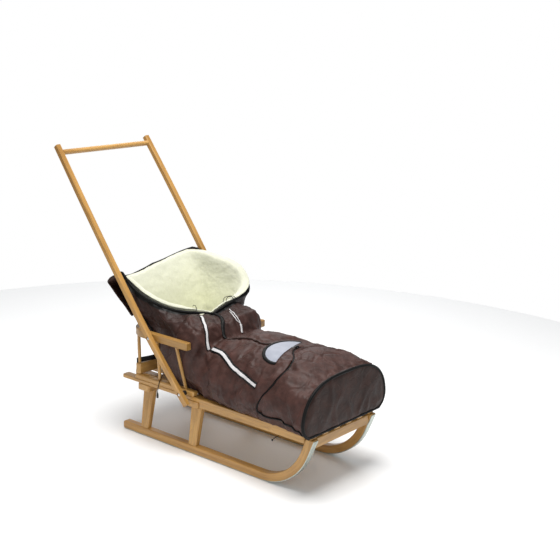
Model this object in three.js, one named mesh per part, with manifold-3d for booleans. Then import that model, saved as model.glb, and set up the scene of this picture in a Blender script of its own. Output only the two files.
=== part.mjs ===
// A wooden push sledge with a bent runner on each side, a slatted seat, a spindle backrest,
// a push handle and a padded footmuff. Millimetres. X runs forward, Y to the sledge's left, Z up.
// The origin is on the ground under the middle of the whole sledge.
import * as THREE from 'three';
import { mergeVertices } from 'three/addons/utils/BufferGeometryUtils.js';
import Module from 'manifold-3d';

const wasm = await Module();
wasm.setup();

// Fits and facets
const slip = 0.3; // gap between pieces that touch
const overrun = 5; // how far a cutter runs past the face that it opens
const softGap = 0.4; // gap round soft pieces
const runningGap = 0.08; // radial, where one piece turns on another
const roundSides = 16;
const smallSides = 10;
const bendSteps = 14;

// Runners and their steel shoes
const runnerLength = 875; // rear end to the front of the tip
const track = 344; // outside to outside
const runnerWidth = 28;
const runnerHeight = 28;
const bendRadius = 206; // of the underside
const tipLean = THREE.MathUtils.degToRad(21.7); // of the tip from upright
const runnerEdge = 2.5;
const runnerHeelRadius = 9; // rounding of the rear end's top corner
const shoeThickness = 2.5;
const shoeWidth = 23;
const shoeSetback = 3; // bare wood left at each end of the shoe

// Seat
const seatHeight = 210; // top of the slats
const slatThickness = 13;
const slatWidth = 32;
const slatCount = 6;
const slatRear = -3;
const slatFrontSetback = 9; // from the runner's tip
const slatEdge = 1.5;
const slatCorner = 7; // rounding of the slat ends
const crossbarHeight = 26;
const crossbarWidth = 58;
const crossbarEdge = 3;
const frontBarHeight = 35;
const frontBarWidth = 24;
const underRailHeight = 21;
const underRailWidth = 22;

// Legs
const rearLegX = 106.5;
const middleLegX = 344;
const legFootWidth = 36;
const legHeadWidth = 49;
const legThickness = 21;
const legSplay = 22; // how far the head leans in from the foot
const legEdge = 2.5;
const tenonWidth = 24;
const tenonThickness = 10;
const tenonDepth = 13;

// Backrest
const sideRailHeight = 18;
const sideRailWidth = 25;
const sideRailOut = 174.5; // middle of the seat to the rail's outer face
const sideRailRear = 66;
const sideRailFront = 355;
const backBoardRear = 66;
const backBoardThickness = 24;
const backBoardHeight = 40;
const backBoardLength = 344;
const armRailRise = 199; // top of the arm rail above the slats
const armRailHeight = 28;
const armRailThickness = 20;
const armRailOut = 203; // middle of the seat to the arm's outer face
const armRailRear = 48;
const armRailFront = 350;
const armCornerRadius = 90; // outside
const railEdge = 3;
const railCorner = 5; // rounding of a rail's ends in plan
const spindleDiameter = 11;
const spindleBelly = 12.4; // widest, halfway up
const spindleTenon = 8;
const spindleTenonDepth = 9;
const middleSpindleFootX = 181;
const middleSpindleHeadX = 199;
const frontSpindleFootX = 308;
const frontSpindleHeadX = 292;

// Push handle
const handleFootDrop = 26; // foot of the bars below the slats' top
const handleTopX = -285;
const handleTopZ = 1011;
const barWidth = 21;
const barThickness = 20;
const barEdge = 3;
const barFootOut = 195; // middle of the sledge to the bar's middle, at its foot
const barBowOut = 221; // and where it bows out most
const barTopOut = 217; // and at its top
const barArmGap = 2; // between the bar and the arm rail at the upper bolt
const dowelDiameter = 20;
const dowelDrop = 28; // bar top to the dowel's middle
const dowelTenon = 12;
const dowelTenonDepth = 14;

// Bolts of the push handle
const boltDiameter = 6;
const boltHeadDiameter = 13;
const boltHeadHeight = 3.2;
const boltTail = 3; // thread past the nut
const spacerDiameter = 16;
const nutWidth = 10;
const nutThickness = 6;
const flangeDiameter = 16;
const flangeThickness = 1.6;
const wingHubDiameter = 12;
const wingHubHeight = 9;
const wingSpan = 28;
const wingReach = 13; // tip of a wing above the nut's seat
const wingThickness = 2.6;
const upperBoltRise = 14; // the bolt above the arm rail's underside

// Footmuff
const muffRear = 283; // where the cover starts
const muffZipX = 664;
const muffZipWidth = 8;
const zipTapeGap = 0.9; // beside the tape, along the sledge; the seam's bend narrows it
const muffFront = 868;
const coverThickness = 12;
const endPanelThickness = 9;
const endPanelEdge = 4;
const matThickness = 16;
const matRear = 228;
const matMargin = 6; // inside the cover's hem
const backPadThickness = 24;
const backPadStandoff = 3; // in front of the arm rail's rear run
const backPadRecline = 0.6; // run per rise
const backPadFootHalf = 134;
const backPadWaistHalf = 152;
const backPadHeadHalf = 196;
const backPadRise = 373; // above the slats, in the middle of its top edge
const backPadPeak = 24; // how much higher the corners stand
const backPadTilt = 12; // and the left one stands above, the right one below
const backPadRounding = 40; // how far it comes forward at the sides
const liningThickness = 9;
const liningBorder = 30; // bare cloth beside the lining
const wingPanelThickness = 11;
const pocketThickness = 5;
const pocketDepth = 72; // how far it stands off behind the back
const pocketLift = 39; // its lower edge above the arm rail
const mouthLength = 280;
const mouthHalfWidth = 160;
const mouthHeight = 420;

// Zip at the foot end
const sliderLength = 13;
const sliderWidth = 10;
const sliderHeight = 5;
const pullerLength = 30;
const pullerWidth = 9;
const pullerThickness = 2;
const pinDiameter = 1.6;

// Strap and cords
const strapHeight = 18;
const strapThickness = 2.2;
const strapRise = 9; // strap above the back board
const strapSlack = 1.2; // its loops about the leaning spindles
const drawcordDiameter = 2.5;
const cordEndDiameter = 8.5;
const cordEndLength = 23;
const tieDiameter = 2;
const tieX = 745;

// Places worked out from the sizes above
const runnerBottom = shoeThickness + slip;
const runnerTop = runnerBottom + runnerHeight;
const runnerY = (track - runnerWidth) / 2;
const slatPitch = (track - slatWidth) / (slatCount - 1);
const slatFront = runnerLength - slatFrontSetback;
const slatBottom = seatHeight - slatThickness;
const barTop = slatBottom - slip; // top of what carries the slats
const crossbarBottom = barTop - crossbarHeight;
const bendAngle = Math.PI / 2 - tipLean;
const tipRise = barTop - runnerBottom - bendRadius * (1 - Math.cos(bendAngle));
const tipLength = tipRise / Math.cos(tipLean);
const bendX = runnerLength - bendRadius * Math.sin(bendAngle) - tipLength * Math.sin(tipLean);
const sideRailBottom = seatHeight + slip;
const sideRailTop = sideRailBottom + sideRailHeight;
const sideRailY = sideRailOut - sideRailWidth / 2;
const backBoardBottom = sideRailTop + slip;
const backBoardTop = backBoardBottom + backBoardHeight;
const armRailTop = seatHeight + armRailRise;
const armRailBottom = armRailTop - armRailHeight;
const handleFootX = middleLegX;
const handleFootZ = seatHeight - handleFootDrop;
const backPadTop = seatHeight + backPadRise;
const pocketBottom = armRailTop + pocketLift;
const armRailY = armRailOut - armRailThickness / 2;
const armRailInside = armRailOut - armRailThickness;
const outerSlatY = slatPitch * (slatCount - 1) / 2;
const armCornerX = armRailRear + armCornerRadius;
const armCornerY = armRailOut - armCornerRadius;
const sides = [{ name: 'right', y: -1 }, { name: 'left', y: 1 }];

// Finishes
const wood = new THREE.MeshStandardMaterial({ color: 0xc48a45, roughness: 0.45, metalness: 0 });
const runnerWood = new THREE.MeshStandardMaterial({ color: 0xb5793a, roughness: 0.45, metalness: 0 });
const steel = new THREE.MeshStandardMaterial({ color: 0x9aa39f, roughness: 0.35, metalness: 0.9 });
const zinc = new THREE.MeshStandardMaterial({ color: 0xb9bcc0, roughness: 0.4, metalness: 0.9 });
const cloth = new THREE.MeshStandardMaterial({ color: 0x58423f, roughness: 0.75, metalness: 0 });
const darkCloth = new THREE.MeshStandardMaterial({ color: 0x443531, roughness: 0.75, metalness: 0 });
const fleece = new THREE.MeshStandardMaterial({ color: 0xe6e3c6, roughness: 0.95, metalness: 0 });
const black = new THREE.MeshStandardMaterial({ color: 0x151516, roughness: 0.6, metalness: 0 });

const sledge = new THREE.Group();

function addPiece(name, geometry, material) {
  const mesh = new THREE.Mesh(geometry, material);
  mesh.name = name;
  sledge.add(mesh);
  return mesh;
}

// Booleans

function toSolid(geometry) {
  const bare = geometry.clone();
  bare.deleteAttribute('normal');
  bare.deleteAttribute('uv');
  const merged = mergeVertices(bare, 1e-4);
  return new wasm.Manifold(new wasm.Mesh({
    numProp: 3,
    vertProperties: new Float32Array(merged.attributes.position.array),
    triVerts: new Uint32Array(merged.index.array),
  }));
}

function toGeometry(solid) {
  const mesh = solid.getMesh();
  const geometry = new THREE.BufferGeometry();
  geometry.setAttribute('position', new THREE.BufferAttribute(new Float32Array(mesh.vertProperties), 3));
  geometry.setIndex(new THREE.BufferAttribute(new Uint32Array(mesh.triVerts), 1));
  geometry.computeVertexNormals();
  return geometry;
}

function cut(geometry, cutters) {
  let solid = toSolid(geometry);
  for (const cutter of cutters) {
    solid = solid.subtract(toSolid(cutter));
  }
  return toGeometry(solid);
}

function join(geometries) {
  let solid = toSolid(geometries[0]);
  for (const geometry of geometries.slice(1)) {
    solid = solid.add(toSolid(geometry));
  }
  return toGeometry(solid);
}

// Basic forms

// A closed body from rings of points, each ring seen anticlockwise from the side it moves towards.
function loft(rings) {
  const count = rings[0].length;
  const points = rings.flat();
  const faces = [];
  for (let i = 0; i + 1 < rings.length; i += 1) {
    for (let j = 0; j < count; j += 1) {
      const a = i * count + j;
      const b = i * count + (j + 1) % count;
      faces.push(a, b, b + count, a, b + count, a + count);
    }
  }
  const last = (rings.length - 1) * count;
  for (let j = 1; j + 1 < count; j += 1) {
    faces.push(0, j + 1, j);
    faces.push(last, last + j, last + j + 1);
  }
  const geometry = new THREE.BufferGeometry().setFromPoints(points);
  geometry.setIndex(faces);
  geometry.computeVertexNormals();
  return geometry;
}

// A closed sheet between two grids of points; the outer grid's rows and columns turn anticlockwise
// as seen from outside.
function thickSheet(outer, inner) {
  const rows = outer.length;
  const columns = outer[0].length;
  const points = [...outer.flat(), ...inner.flat()];
  const shift = rows * columns;
  const at = (i, j) => i * columns + j;
  const faces = [];
  const quad = (a, b, c, d) => faces.push(a, b, c, a, c, d);
  for (let i = 0; i + 1 < rows; i += 1) {
    for (let j = 0; j + 1 < columns; j += 1) {
      quad(at(i, j), at(i, j + 1), at(i + 1, j + 1), at(i + 1, j));
      quad(shift + at(i, j), shift + at(i + 1, j), shift + at(i + 1, j + 1), shift + at(i, j + 1));
    }
    quad(at(i, 0), at(i + 1, 0), shift + at(i + 1, 0), shift + at(i, 0));
    const last = at(i, columns - 1);
    quad(last + columns, last, shift + last, shift + last + columns);
  }
  for (let j = 0; j + 1 < columns; j += 1) {
    quad(at(0, j + 1), at(0, j), shift + at(0, j), shift + at(0, j + 1));
    quad(at(rows - 1, j), at(rows - 1, j + 1), shift + at(rows - 1, j + 1), shift + at(rows - 1, j));
  }
  const geometry = new THREE.BufferGeometry().setFromPoints(points);
  geometry.setIndex(faces);
  geometry.computeVertexNormals();
  return geometry;
}

// Corner points of a rectangle with cut corners, anticlockwise.
function softRectangle(width, height, edge) {
  const x = width / 2;
  const y = height / 2;
  return [
    [x, -y + edge], [x, y - edge], [x - edge, y], [-x + edge, y],
    [-x, y - edge], [-x, -y + edge], [-x + edge, -y], [x - edge, -y],
  ];
}

// A side profile in X and Z, given thickness across Y about yMiddle.
function sidePlate(shape, width, yMiddle, edge, curveSegments) {
  const geometry = new THREE.ExtrudeGeometry(shape, {
    depth: width - 2 * edge,
    bevelEnabled: edge > 0,
    bevelSize: edge,
    bevelOffset: -edge,
    bevelThickness: edge,
    bevelSegments: 1,
    curveSegments,
  });
  geometry.translate(0, 0, edge - width / 2);
  geometry.rotateX(Math.PI / 2);
  geometry.translate(0, yMiddle, 0);
  return geometry;
}

// A plan outline in X and Y, given height from zBottom.
function planPlate(shape, height, zBottom, edge, curveSegments) {
  const geometry = new THREE.ExtrudeGeometry(shape, {
    depth: height - 2 * edge,
    bevelEnabled: edge > 0,
    bevelSize: edge,
    bevelOffset: -edge,
    bevelThickness: edge,
    bevelSegments: 1,
    curveSegments,
  });
  geometry.translate(0, 0, zBottom + edge);
  return geometry;
}

function roundedPlan(x0, x1, y0, y1, radius) {
  const shape = new THREE.Shape();
  shape.moveTo(x0 + radius, y0);
  shape.lineTo(x1 - radius, y0);
  shape.absarc(x1 - radius, y0 + radius, radius, -Math.PI / 2, 0);
  shape.lineTo(x1, y1 - radius);
  shape.absarc(x1 - radius, y1 - radius, radius, 0, Math.PI / 2);
  shape.lineTo(x0 + radius, y1);
  shape.absarc(x0 + radius, y1 - radius, radius, Math.PI / 2, Math.PI);
  shape.lineTo(x0, y0 + radius);
  shape.absarc(x0 + radius, y0 + radius, radius, Math.PI, Math.PI * 1.5);
  return shape;
}

function box(x0, x1, y0, y1, z0, z1) {
  const geometry = new THREE.BoxGeometry(x1 - x0, y1 - y0, z1 - z0);
  geometry.translate((x0 + x1) / 2, (y0 + y1) / 2, (z0 + z1) / 2);
  return geometry;
}

// A cylinder along Y.
function rodAcross(radius, x, y0, y1, z, segments) {
  const geometry = new THREE.CylinderGeometry(radius, radius, y1 - y0, segments);
  geometry.translate(x, (y0 + y1) / 2, z);
  return geometry;
}

// A post whose rings stay level while it leans, so that both ends sit flat.
function roundPost(levels, segments) {
  return loft(levels.map(({ x, y, z, radius }) => {
    const ring = [];
    for (let k = 0; k < segments; k += 1) {
      const angle = 2 * Math.PI * k / segments;
      ring.push(new THREE.Vector3(x + radius * Math.cos(angle), y + radius * Math.sin(angle), z));
    }
    return ring;
  }));
}

function squarePost(levels) {
  return loft(levels.map(({ x, y, z, width, depth, edge }) => (
    softRectangle(width, depth, edge).map(([a, b]) => new THREE.Vector3(x + a, y + b, z))
  )));
}

function mix(a, b, share) {
  return a + (b - a) * share;
}

// Runners

function runnerShape() {
  const shape = new THREE.Shape();
  const centreZ = runnerBottom + bendRadius;
  const innerRadius = bendRadius - runnerHeight;
  const tipX = runnerLength;
  const along = new THREE.Vector2(Math.sin(tipLean), Math.cos(tipLean));
  const bendEnd = new THREE.Vector2(
    bendX + innerRadius * Math.sin(bendAngle),
    centreZ - innerRadius * Math.cos(bendAngle),
  );
  const innerTip = bendEnd.clone().addScaledVector(along, (barTop - bendEnd.y) / along.y);
  shape.moveTo(runnerEdge, runnerBottom);
  shape.lineTo(bendX, runnerBottom);
  shape.absarc(bendX, centreZ, bendRadius, -Math.PI / 2, -Math.PI / 2 + bendAngle, false);
  shape.lineTo(tipX, barTop);
  shape.lineTo(innerTip.x, innerTip.y);
  shape.lineTo(bendEnd.x, bendEnd.y);
  shape.absarc(bendX, centreZ, innerRadius, -Math.PI / 2 + bendAngle, -Math.PI / 2, true);
  shape.lineTo(runnerHeelRadius, runnerTop);
  shape.absarc(runnerHeelRadius, runnerTop - runnerHeelRadius, runnerHeelRadius, Math.PI / 2, Math.PI, false);
  shape.lineTo(0, runnerBottom + runnerEdge);
  return shape;
}

function shoeShape() {
  const centreZ = runnerBottom + bendRadius;
  const nearRadius = bendRadius + slip;
  const farRadius = nearRadius + shoeThickness;
  const along = new THREE.Vector2(Math.sin(tipLean), Math.cos(tipLean));
  const atBend = (radius) => new THREE.Vector2(
    bendX + radius * Math.sin(bendAngle),
    centreZ - radius * Math.cos(bendAngle),
  );
  const length = tipLength - shoeSetback;
  const farTip = atBend(farRadius).addScaledVector(along, length);
  const nearEnd = atBend(nearRadius);
  const nearTip = nearEnd.clone().addScaledVector(along, length);
  const shape = new THREE.Shape();
  shape.moveTo(shoeSetback, 0);
  shape.lineTo(bendX, 0);
  shape.absarc(bendX, centreZ, farRadius, -Math.PI / 2, -Math.PI / 2 + bendAngle, false);
  shape.lineTo(farTip.x, farTip.y);
  shape.lineTo(nearTip.x, nearTip.y);
  shape.lineTo(nearEnd.x, nearEnd.y);
  shape.absarc(bendX, centreZ, nearRadius, -Math.PI / 2 + bendAngle, -Math.PI / 2, true);
  shape.lineTo(shoeSetback, shoeThickness);
  return shape;
}

function mortise(x, y, z0, z1) {
  const width = tenonWidth + 2 * slip;
  const depth = tenonThickness + 2 * slip;
  return box(x - width / 2, x + width / 2, y - depth / 2, y + depth / 2, z0, z1);
}

function makeRunner(side) {
  const y = side.y * runnerY;
  const body = sidePlate(runnerShape(), runnerWidth, y, runnerEdge, bendSteps);
  const mortises = [rearLegX, middleLegX].map((x) => (
    mortise(x, y, runnerTop - tenonDepth - slip, runnerTop + overrun)
  ));
  addPiece(`runner_${side.name}`, cut(body, mortises), runnerWood);
  addPiece(`shoe_${side.name}`, sidePlate(shoeShape(), shoeWidth, y, 0, bendSteps), steel);
}

// Legs, crossbars and slats

function makeLeg(name, x, side) {
  const foot = runnerTop + slip;
  const head = crossbarBottom - slip;
  const footY = side.y * runnerY;
  const headY = side.y * (runnerY - legSplay);
  const peg = { width: tenonWidth, depth: tenonThickness, edge: legEdge / 2 };
  const post = squarePost([
    { x, y: footY, z: runnerTop - tenonDepth, ...peg },
    { x, y: footY, z: foot, ...peg },
    { x, y: footY, z: foot, width: legFootWidth, depth: legThickness, edge: legEdge },
    { x, y: headY, z: head, width: legHeadWidth, depth: legThickness, edge: legEdge },
    { x, y: headY, z: head, ...peg },
    { x, y: headY, z: crossbarBottom + tenonDepth, ...peg },
  ]);
  addPiece(`${name}_leg_${side.name}`, post, wood);
}

function makeCrossbar(name, x) {
  const half = crossbarWidth / 2;
  const plan = roundedPlan(x - half, x + half, -track / 2, track / 2, slatCorner);
  const body = planPlate(plan, crossbarHeight, crossbarBottom, crossbarEdge, 4);
  const mortises = sides.map((side) => mortise(
    x, side.y * (runnerY - legSplay), crossbarBottom - overrun, crossbarBottom + tenonDepth + slip,
  ));
  addPiece(`${name}_crossbar`, cut(body, mortises), wood);
}

// The front bar stands between the runner tips.
const frontBarX = runnerLength - frontBarHeight * Math.tan(tipLean) / 2 - runnerHeight / 2;

function makeFrontBar() {
  const half = runnerY - runnerWidth / 2 - slip;
  const x0 = frontBarX - frontBarWidth / 2;
  const plan = roundedPlan(x0, x0 + frontBarWidth, -half, half, railCorner);
  addPiece('front_crossbar', planPlate(plan, frontBarHeight, barTop - frontBarHeight, crossbarEdge, 3), wood);
}

function makeSlats() {
  for (let i = 0; i < slatCount; i += 1) {
    const y = slatPitch * (i - (slatCount - 1) / 2);
    const plan = roundedPlan(slatRear, slatFront, y - slatWidth / 2, y + slatWidth / 2, slatCorner);
    addPiece(`slat_${i + 1}`, planPlate(plan, slatThickness, slatBottom, slatEdge, 3), wood);
  }
}

function makeUnderRail(side) {
  const x0 = middleLegX + crossbarWidth / 2 + slip;
  const low = barTop - underRailHeight;
  const innerTip = runnerLength - (barTop - low) * Math.tan(tipLean) - runnerHeight / Math.cos(tipLean);
  const y = side.y * outerSlatY;
  const plan = roundedPlan(x0, innerTip - slip, y - underRailWidth / 2, y + underRailWidth / 2, railCorner);
  addPiece(`under_rail_${side.name}`, planPlate(plan, underRailHeight, low, slatEdge, 2), wood);
}

// Backrest

// Each spindle's foot and head, as the middle of its shoulder rings.
const armCornerShare = Math.SQRT1_2;
const armBendMiddle = armCornerRadius - armRailThickness / 2;
const spindles = [
  {
    name: 'rear',
    footX: backBoardRear + backBoardThickness / 2,
    headX: armCornerX - armBendMiddle * armCornerShare,
    headY: armCornerY + armBendMiddle * armCornerShare,
    seatZ: backBoardTop,
  },
  {
    name: 'middle', footX: middleSpindleFootX, headX: middleSpindleHeadX, headY: armRailY, seatZ: sideRailTop,
  },
  {
    name: 'front', footX: frontSpindleFootX, headX: frontSpindleHeadX, headY: armRailY, seatZ: sideRailTop,
  },
];

function spindlePegs(spindle, side, clearance, run) {
  const foot = { x: spindle.footX, y: side.y * sideRailY };
  const head = { x: spindle.headX, y: side.y * spindle.headY };
  const radius = spindleTenon / 2 + clearance;
  return [
    [
      { ...foot, z: spindle.seatZ - spindleTenonDepth - clearance, radius },
      { ...foot, z: spindle.seatZ + run, radius },
    ],
    [
      { ...head, z: armRailBottom - run, radius },
      { ...head, z: armRailBottom + spindleTenonDepth + clearance, radius },
    ],
  ];
}

function spindleSocket(spindle, side, end) {
  return roundPost(spindlePegs(spindle, side, slip, overrun)[end], smallSides);
}

function makeSpindle(spindle, side) {
  const [foot, head] = spindlePegs(spindle, side, 0, -slip);
  const shoulder = spindleDiameter / 2;
  const low = { ...foot[1], z: spindle.seatZ + slip };
  const high = { ...head[0], z: armRailBottom - slip };
  const between = (share, radius) => ({
    x: mix(low.x, high.x, share), y: mix(low.y, high.y, share), z: mix(low.z, high.z, share), radius,
  });
  const body = [
    between(0, shoulder), between(0.25, mix(shoulder, spindleBelly / 2, 0.7)), between(0.5, spindleBelly / 2),
    between(0.75, mix(shoulder, spindleBelly / 2, 0.7)), between(1, shoulder),
  ];
  const shoulders = [{ ...low, radius: foot[0].radius }, { ...high, radius: head[0].radius }];
  const levels = [foot[0], shoulders[0], ...body, shoulders[1], head[1]];
  addPiece(`${spindle.name}_spindle_${side.name}`, roundPost(levels, smallSides), wood);
}

function makeSideRail(side) {
  const y = side.y * sideRailY;
  const half = sideRailWidth / 2;
  const plan = roundedPlan(sideRailRear, sideRailFront, y - half, y + half, railCorner);
  const body = planPlate(plan, sideRailHeight, sideRailBottom, railEdge, 3);
  const sockets = spindles.slice(1).map((spindle) => spindleSocket(spindle, side, 0));
  const hole = boltHole(lowerBolt, y - sideRailWidth, y + sideRailWidth);
  addPiece(`side_rail_${side.name}`, cut(body, [...sockets, hole]), wood);
}

function makeBackBoard() {
  const half = backBoardLength / 2;
  const plan = roundedPlan(backBoardRear, backBoardRear + backBoardThickness, -half, half, slatCorner);
  const body = planPlate(plan, backBoardHeight, backBoardBottom, railEdge, 4);
  addPiece('back_board', cut(body, sides.map((side) => spindleSocket(spindles[0], side, 0))), wood);
}

// The arm rail is one bent piece: both arms and the back.
function armRailShape() {
  const inner = armCornerRadius - armRailThickness;
  const shape = new THREE.Shape();
  shape.moveTo(armRailFront, armRailInside);
  shape.lineTo(armRailFront, armRailOut);
  shape.lineTo(armCornerX, armRailOut);
  shape.absarc(armCornerX, armCornerY, armCornerRadius, Math.PI / 2, Math.PI, false);
  shape.lineTo(armRailRear, -armCornerY);
  shape.absarc(armCornerX, -armCornerY, armCornerRadius, Math.PI, Math.PI * 1.5, false);
  shape.lineTo(armRailFront, -armRailOut);
  shape.lineTo(armRailFront, -armRailInside);
  shape.lineTo(armCornerX, -armRailInside);
  shape.absarc(armCornerX, -armCornerY, inner, Math.PI * 1.5, Math.PI, true);
  shape.lineTo(armRailRear + armRailThickness, armCornerY);
  shape.absarc(armCornerX, armCornerY, inner, Math.PI, Math.PI / 2, true);
  return shape;
}

function makeArmRail() {
  const body = planPlate(armRailShape(), armRailHeight, armRailBottom, railEdge, 10);
  const cutters = [];
  for (const side of sides) {
    for (const spindle of spindles) {
      cutters.push(spindleSocket(spindle, side, 1));
    }
    const y = side.y * armRailY;
    cutters.push(boltHole(upperBolt, y - armRailThickness, y + armRailThickness));
  }
  addPiece('arm_rail', cut(body, cutters), wood);
}

// Push handle

const handleRun = new THREE.Vector3(handleTopX - handleFootX, 0, handleTopZ - handleFootZ);
const handleLength = handleRun.length();
const handleDirection = handleRun.clone().normalize();
const handleFace = new THREE.Vector3(handleDirection.z, 0, -handleDirection.x); // forward and up

const barArmOut = armRailOut + barThickness / 2 + barArmGap;
const barCurve = new THREE.CatmullRomCurve3(
  [barFootOut, barArmOut, barBowOut, barBowOut, barTopOut].map((out, i) => (
    new THREE.Vector3(handleFootX, out, handleFootZ).addScaledVector(handleRun, i / 4)
  )),
  false,
  'catmullrom',
);

// Place of the bar's middle, a share of the way up from its foot.
function barPoint(share, side) {
  const point = barCurve.getPoint(share);
  point.y *= side.y;
  return point;
}

function shareAtHeight(z) {
  return (z - handleFootZ) / handleRun.z;
}

function boltAt(z) {
  const share = shareAtHeight(z);
  const point = barPoint(share, { y: 1 });
  return { share, x: point.x, y: point.y, z };
}

const lowerBolt = boltAt(sideRailBottom + sideRailHeight / 2);
const upperBolt = boltAt(armRailBottom + upperBoltRise);
const barLean = 1.2; // the bar's slant takes up to this much across a bolt head

function boltHole(bolt, y0, y1) {
  return rodAcross(boltDiameter / 2 + slip, bolt.x, y0, y1, bolt.z, roundSides);
}

function makeBar(side) {
  const steps = 24;
  const rings = [];
  for (let i = 0; i <= steps; i += 1) {
    const middle = barPoint(i / steps, side);
    rings.push(softRectangle(barWidth, barThickness, barEdge).map(([a, b]) => (
      middle.clone().addScaledVector(handleFace, a).add(new THREE.Vector3(0, b, 0))
    )));
  }
  const cutters = [];
  for (const bolt of [lowerBolt, upperBolt]) {
    const y = side.y * bolt.y;
    const face = side.y * (bolt.y + barThickness / 2 - barLean - boltHeadHeight);
    const outside = side.y * (bolt.y + barThickness / 2 + overrun);
    cutters.push(boltHole(bolt, y - barThickness, y + barThickness));
    cutters.push(rodAcross(
      boltHeadDiameter / 2 + slip, bolt.x,
      Math.min(face, outside), Math.max(face, outside), bolt.z, roundSides,
    ));
  }
  cutters.push(dowelSocket(side));
  addPiece(`handle_bar_${side.name}`, cut(loft(rings), cutters), wood);
}

const dowelShare = 1 - dowelDrop / handleLength;
const dowelPlace = barPoint(dowelShare, { y: 1 });
const dowelHalf = dowelPlace.y - barThickness / 2 - slip;

function dowelSocket(side) {
  const deep = dowelHalf + slip + dowelTenonDepth;
  const near = dowelHalf - overrun;
  const y0 = Math.min(side.y * near, side.y * deep);
  const y1 = Math.max(side.y * near, side.y * deep);
  return rodAcross(dowelTenon / 2 + slip, dowelPlace.x, y0, y1, dowelPlace.z, roundSides);
}

function makeDowel() {
  const body = dowelDiameter / 2;
  const peg = dowelTenon / 2;
  const tip = dowelHalf + dowelTenonDepth - slip;
  const profile = [
    [0, -tip], [peg, -tip], [peg, -dowelHalf], [body, -dowelHalf],
    [body, dowelHalf], [peg, dowelHalf], [peg, tip], [0, tip],
  ].map(([radius, y]) => new THREE.Vector2(radius, y));
  const geometry = new THREE.LatheGeometry(profile, roundSides);
  geometry.translate(dowelPlace.x, 0, dowelPlace.z);
  addPiece('handle_dowel', geometry, wood);
}

// Bolts and nuts

// A turned piece about a bolt's axis; its profile runs from the sledge's middle outwards.
function turnedAt(profile, bolt, side, segments) {
  const geometry = new THREE.LatheGeometry(profile.map(([r, y]) => new THREE.Vector2(r, y)), segments);
  if (side.y < 0) {
    geometry.rotateX(Math.PI);
  }
  geometry.translate(bolt.x, 0, bolt.z);
  return geometry;
}

function ringAt(inside, outside, y0, y1, bolt, side, segments) {
  const profile = [[inside, y0], [outside, y0], [outside, y1], [inside, y1], [inside, y0]];
  return turnedAt(profile, bolt, side, segments);
}

const holeRadius = boltDiameter / 2 + slip;
const nutBore = (boltDiameter / 2 + runningGap) / Math.cos(Math.PI / roundSides);
const lowerSeat = sideRailOut - sideRailWidth; // inner face of the side rail
const upperSeat = armRailInside;

function makeBolt(name, bolt, seat, nutHeight, side) {
  const under = bolt.y + barThickness / 2 - barLean - boltHeadHeight + slip;
  const tail = seat - slip - nutHeight - boltTail;
  const head = boltHeadDiameter / 2;
  const profile = [
    [0, tail], [boltDiameter / 2, tail], [boltDiameter / 2, under], [head, under],
    [head * 0.92, under + boltHeadHeight * 0.5], [head * 0.5, under + boltHeadHeight - slip],
    [0, under + boltHeadHeight],
  ];
  addPiece(`${name}_bolt_${side.name}`, turnedAt(profile, bolt, side, roundSides), zinc);
}

function makeSpacer(side) {
  const y0 = sideRailOut + slip;
  const y1 = lowerBolt.y - barThickness / 2 - barLean;
  const ring = ringAt(holeRadius, spacerDiameter / 2, y0, y1, lowerBolt, side, roundSides);
  addPiece(`handle_spacer_${side.name}`, ring, black);
}

// The flange that a nut bears on the wood with.
function flangeDisc(y1, bolt, side) {
  const rim = flangeDiameter / 2;
  const y0 = y1 - flangeThickness;
  return turnedAt([[0, y0], [rim * 0.9, y0], [rim, y1], [0, y1]], bolt, side, roundSides);
}

function makeFlangeNut(side) {
  const y1 = lowerSeat - slip;
  const corner = nutWidth / 2 / Math.cos(Math.PI / 6);
  const y0 = y1 - nutThickness;
  const hexagon = turnedAt([[0, y0], [corner, y0], [corner, y1], [0, y1]], lowerBolt, side, 6);
  const bore = rodAcross(nutBore, lowerBolt.x, -track, track, lowerBolt.z, roundSides);
  addPiece(`flange_nut_${side.name}`, cut(join([hexagon, flangeDisc(y1, lowerBolt, side)]), [bore]), zinc);
}

// Half of a wing, from the hub out, in the plane of the bolt's axis; u runs out and v along the axis.
const wingShares = [
  [0, 0.12], [0.55, 0.2], [0.86, 0.5], [1, 0.86], [0.9, 1], [0.7, 0.96], [0.42, 0.62], [0, 0.58],
];

function makeWingNut(side) {
  const y1 = upperSeat - slip;
  const hub = wingHubDiameter / 2;
  const profile = [[0, y1 - wingHubHeight], [hub * 0.8, y1 - wingHubHeight], [hub, y1], [0, y1]];
  const parts = [turnedAt(profile, upperBolt, side, roundSides), flangeDisc(y1, upperBolt, side)];
  for (const hand of [1, -1]) {
    const shape = new THREE.Shape(wingShares.map(([u, v]) => (
      new THREE.Vector2(hand * mix(hub * 0.6, wingSpan / 2, u), -v * wingReach)
    )));
    const wing = new THREE.ExtrudeGeometry(shape, { depth: wingThickness, bevelEnabled: false });
    wing.translate(0, y1, -wingThickness / 2);
    if (side.y < 0) {
      wing.rotateX(Math.PI);
    }
    wing.translate(upperBolt.x, 0, upperBolt.z);
    parts.push(wing);
  }
  const bore = rodAcross(nutBore, upperBolt.x, -track, track, upperBolt.z, roundSides);
  addPiece(`wing_nut_${side.name}`, cut(join(parts), [bore]), zinc);
}

// Footmuff

// Cross-section of the cover as shares of its half width and height, from the left edge to the top.
const hemShare = 0.86;
const archShares = [
  [hemShare, 0], [0.955, 0.1], [1, 0.25], [0.985, 0.42], [0.93, 0.6], [0.82, 0.77], [0.64, 0.905],
  [0.4, 0.975], [0.17, 0.997],
];
// The same for the collar at its rear end, which is squarer.
const collarShares = [
  [0.79, 0], [0.86, 0.1], [0.95, 0.25], [0.985, 0.45], [1, 0.68], [0.995, 0.86], [0.88, 1], [0.6, 1.05],
  [0.3, 1.03],
];

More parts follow.
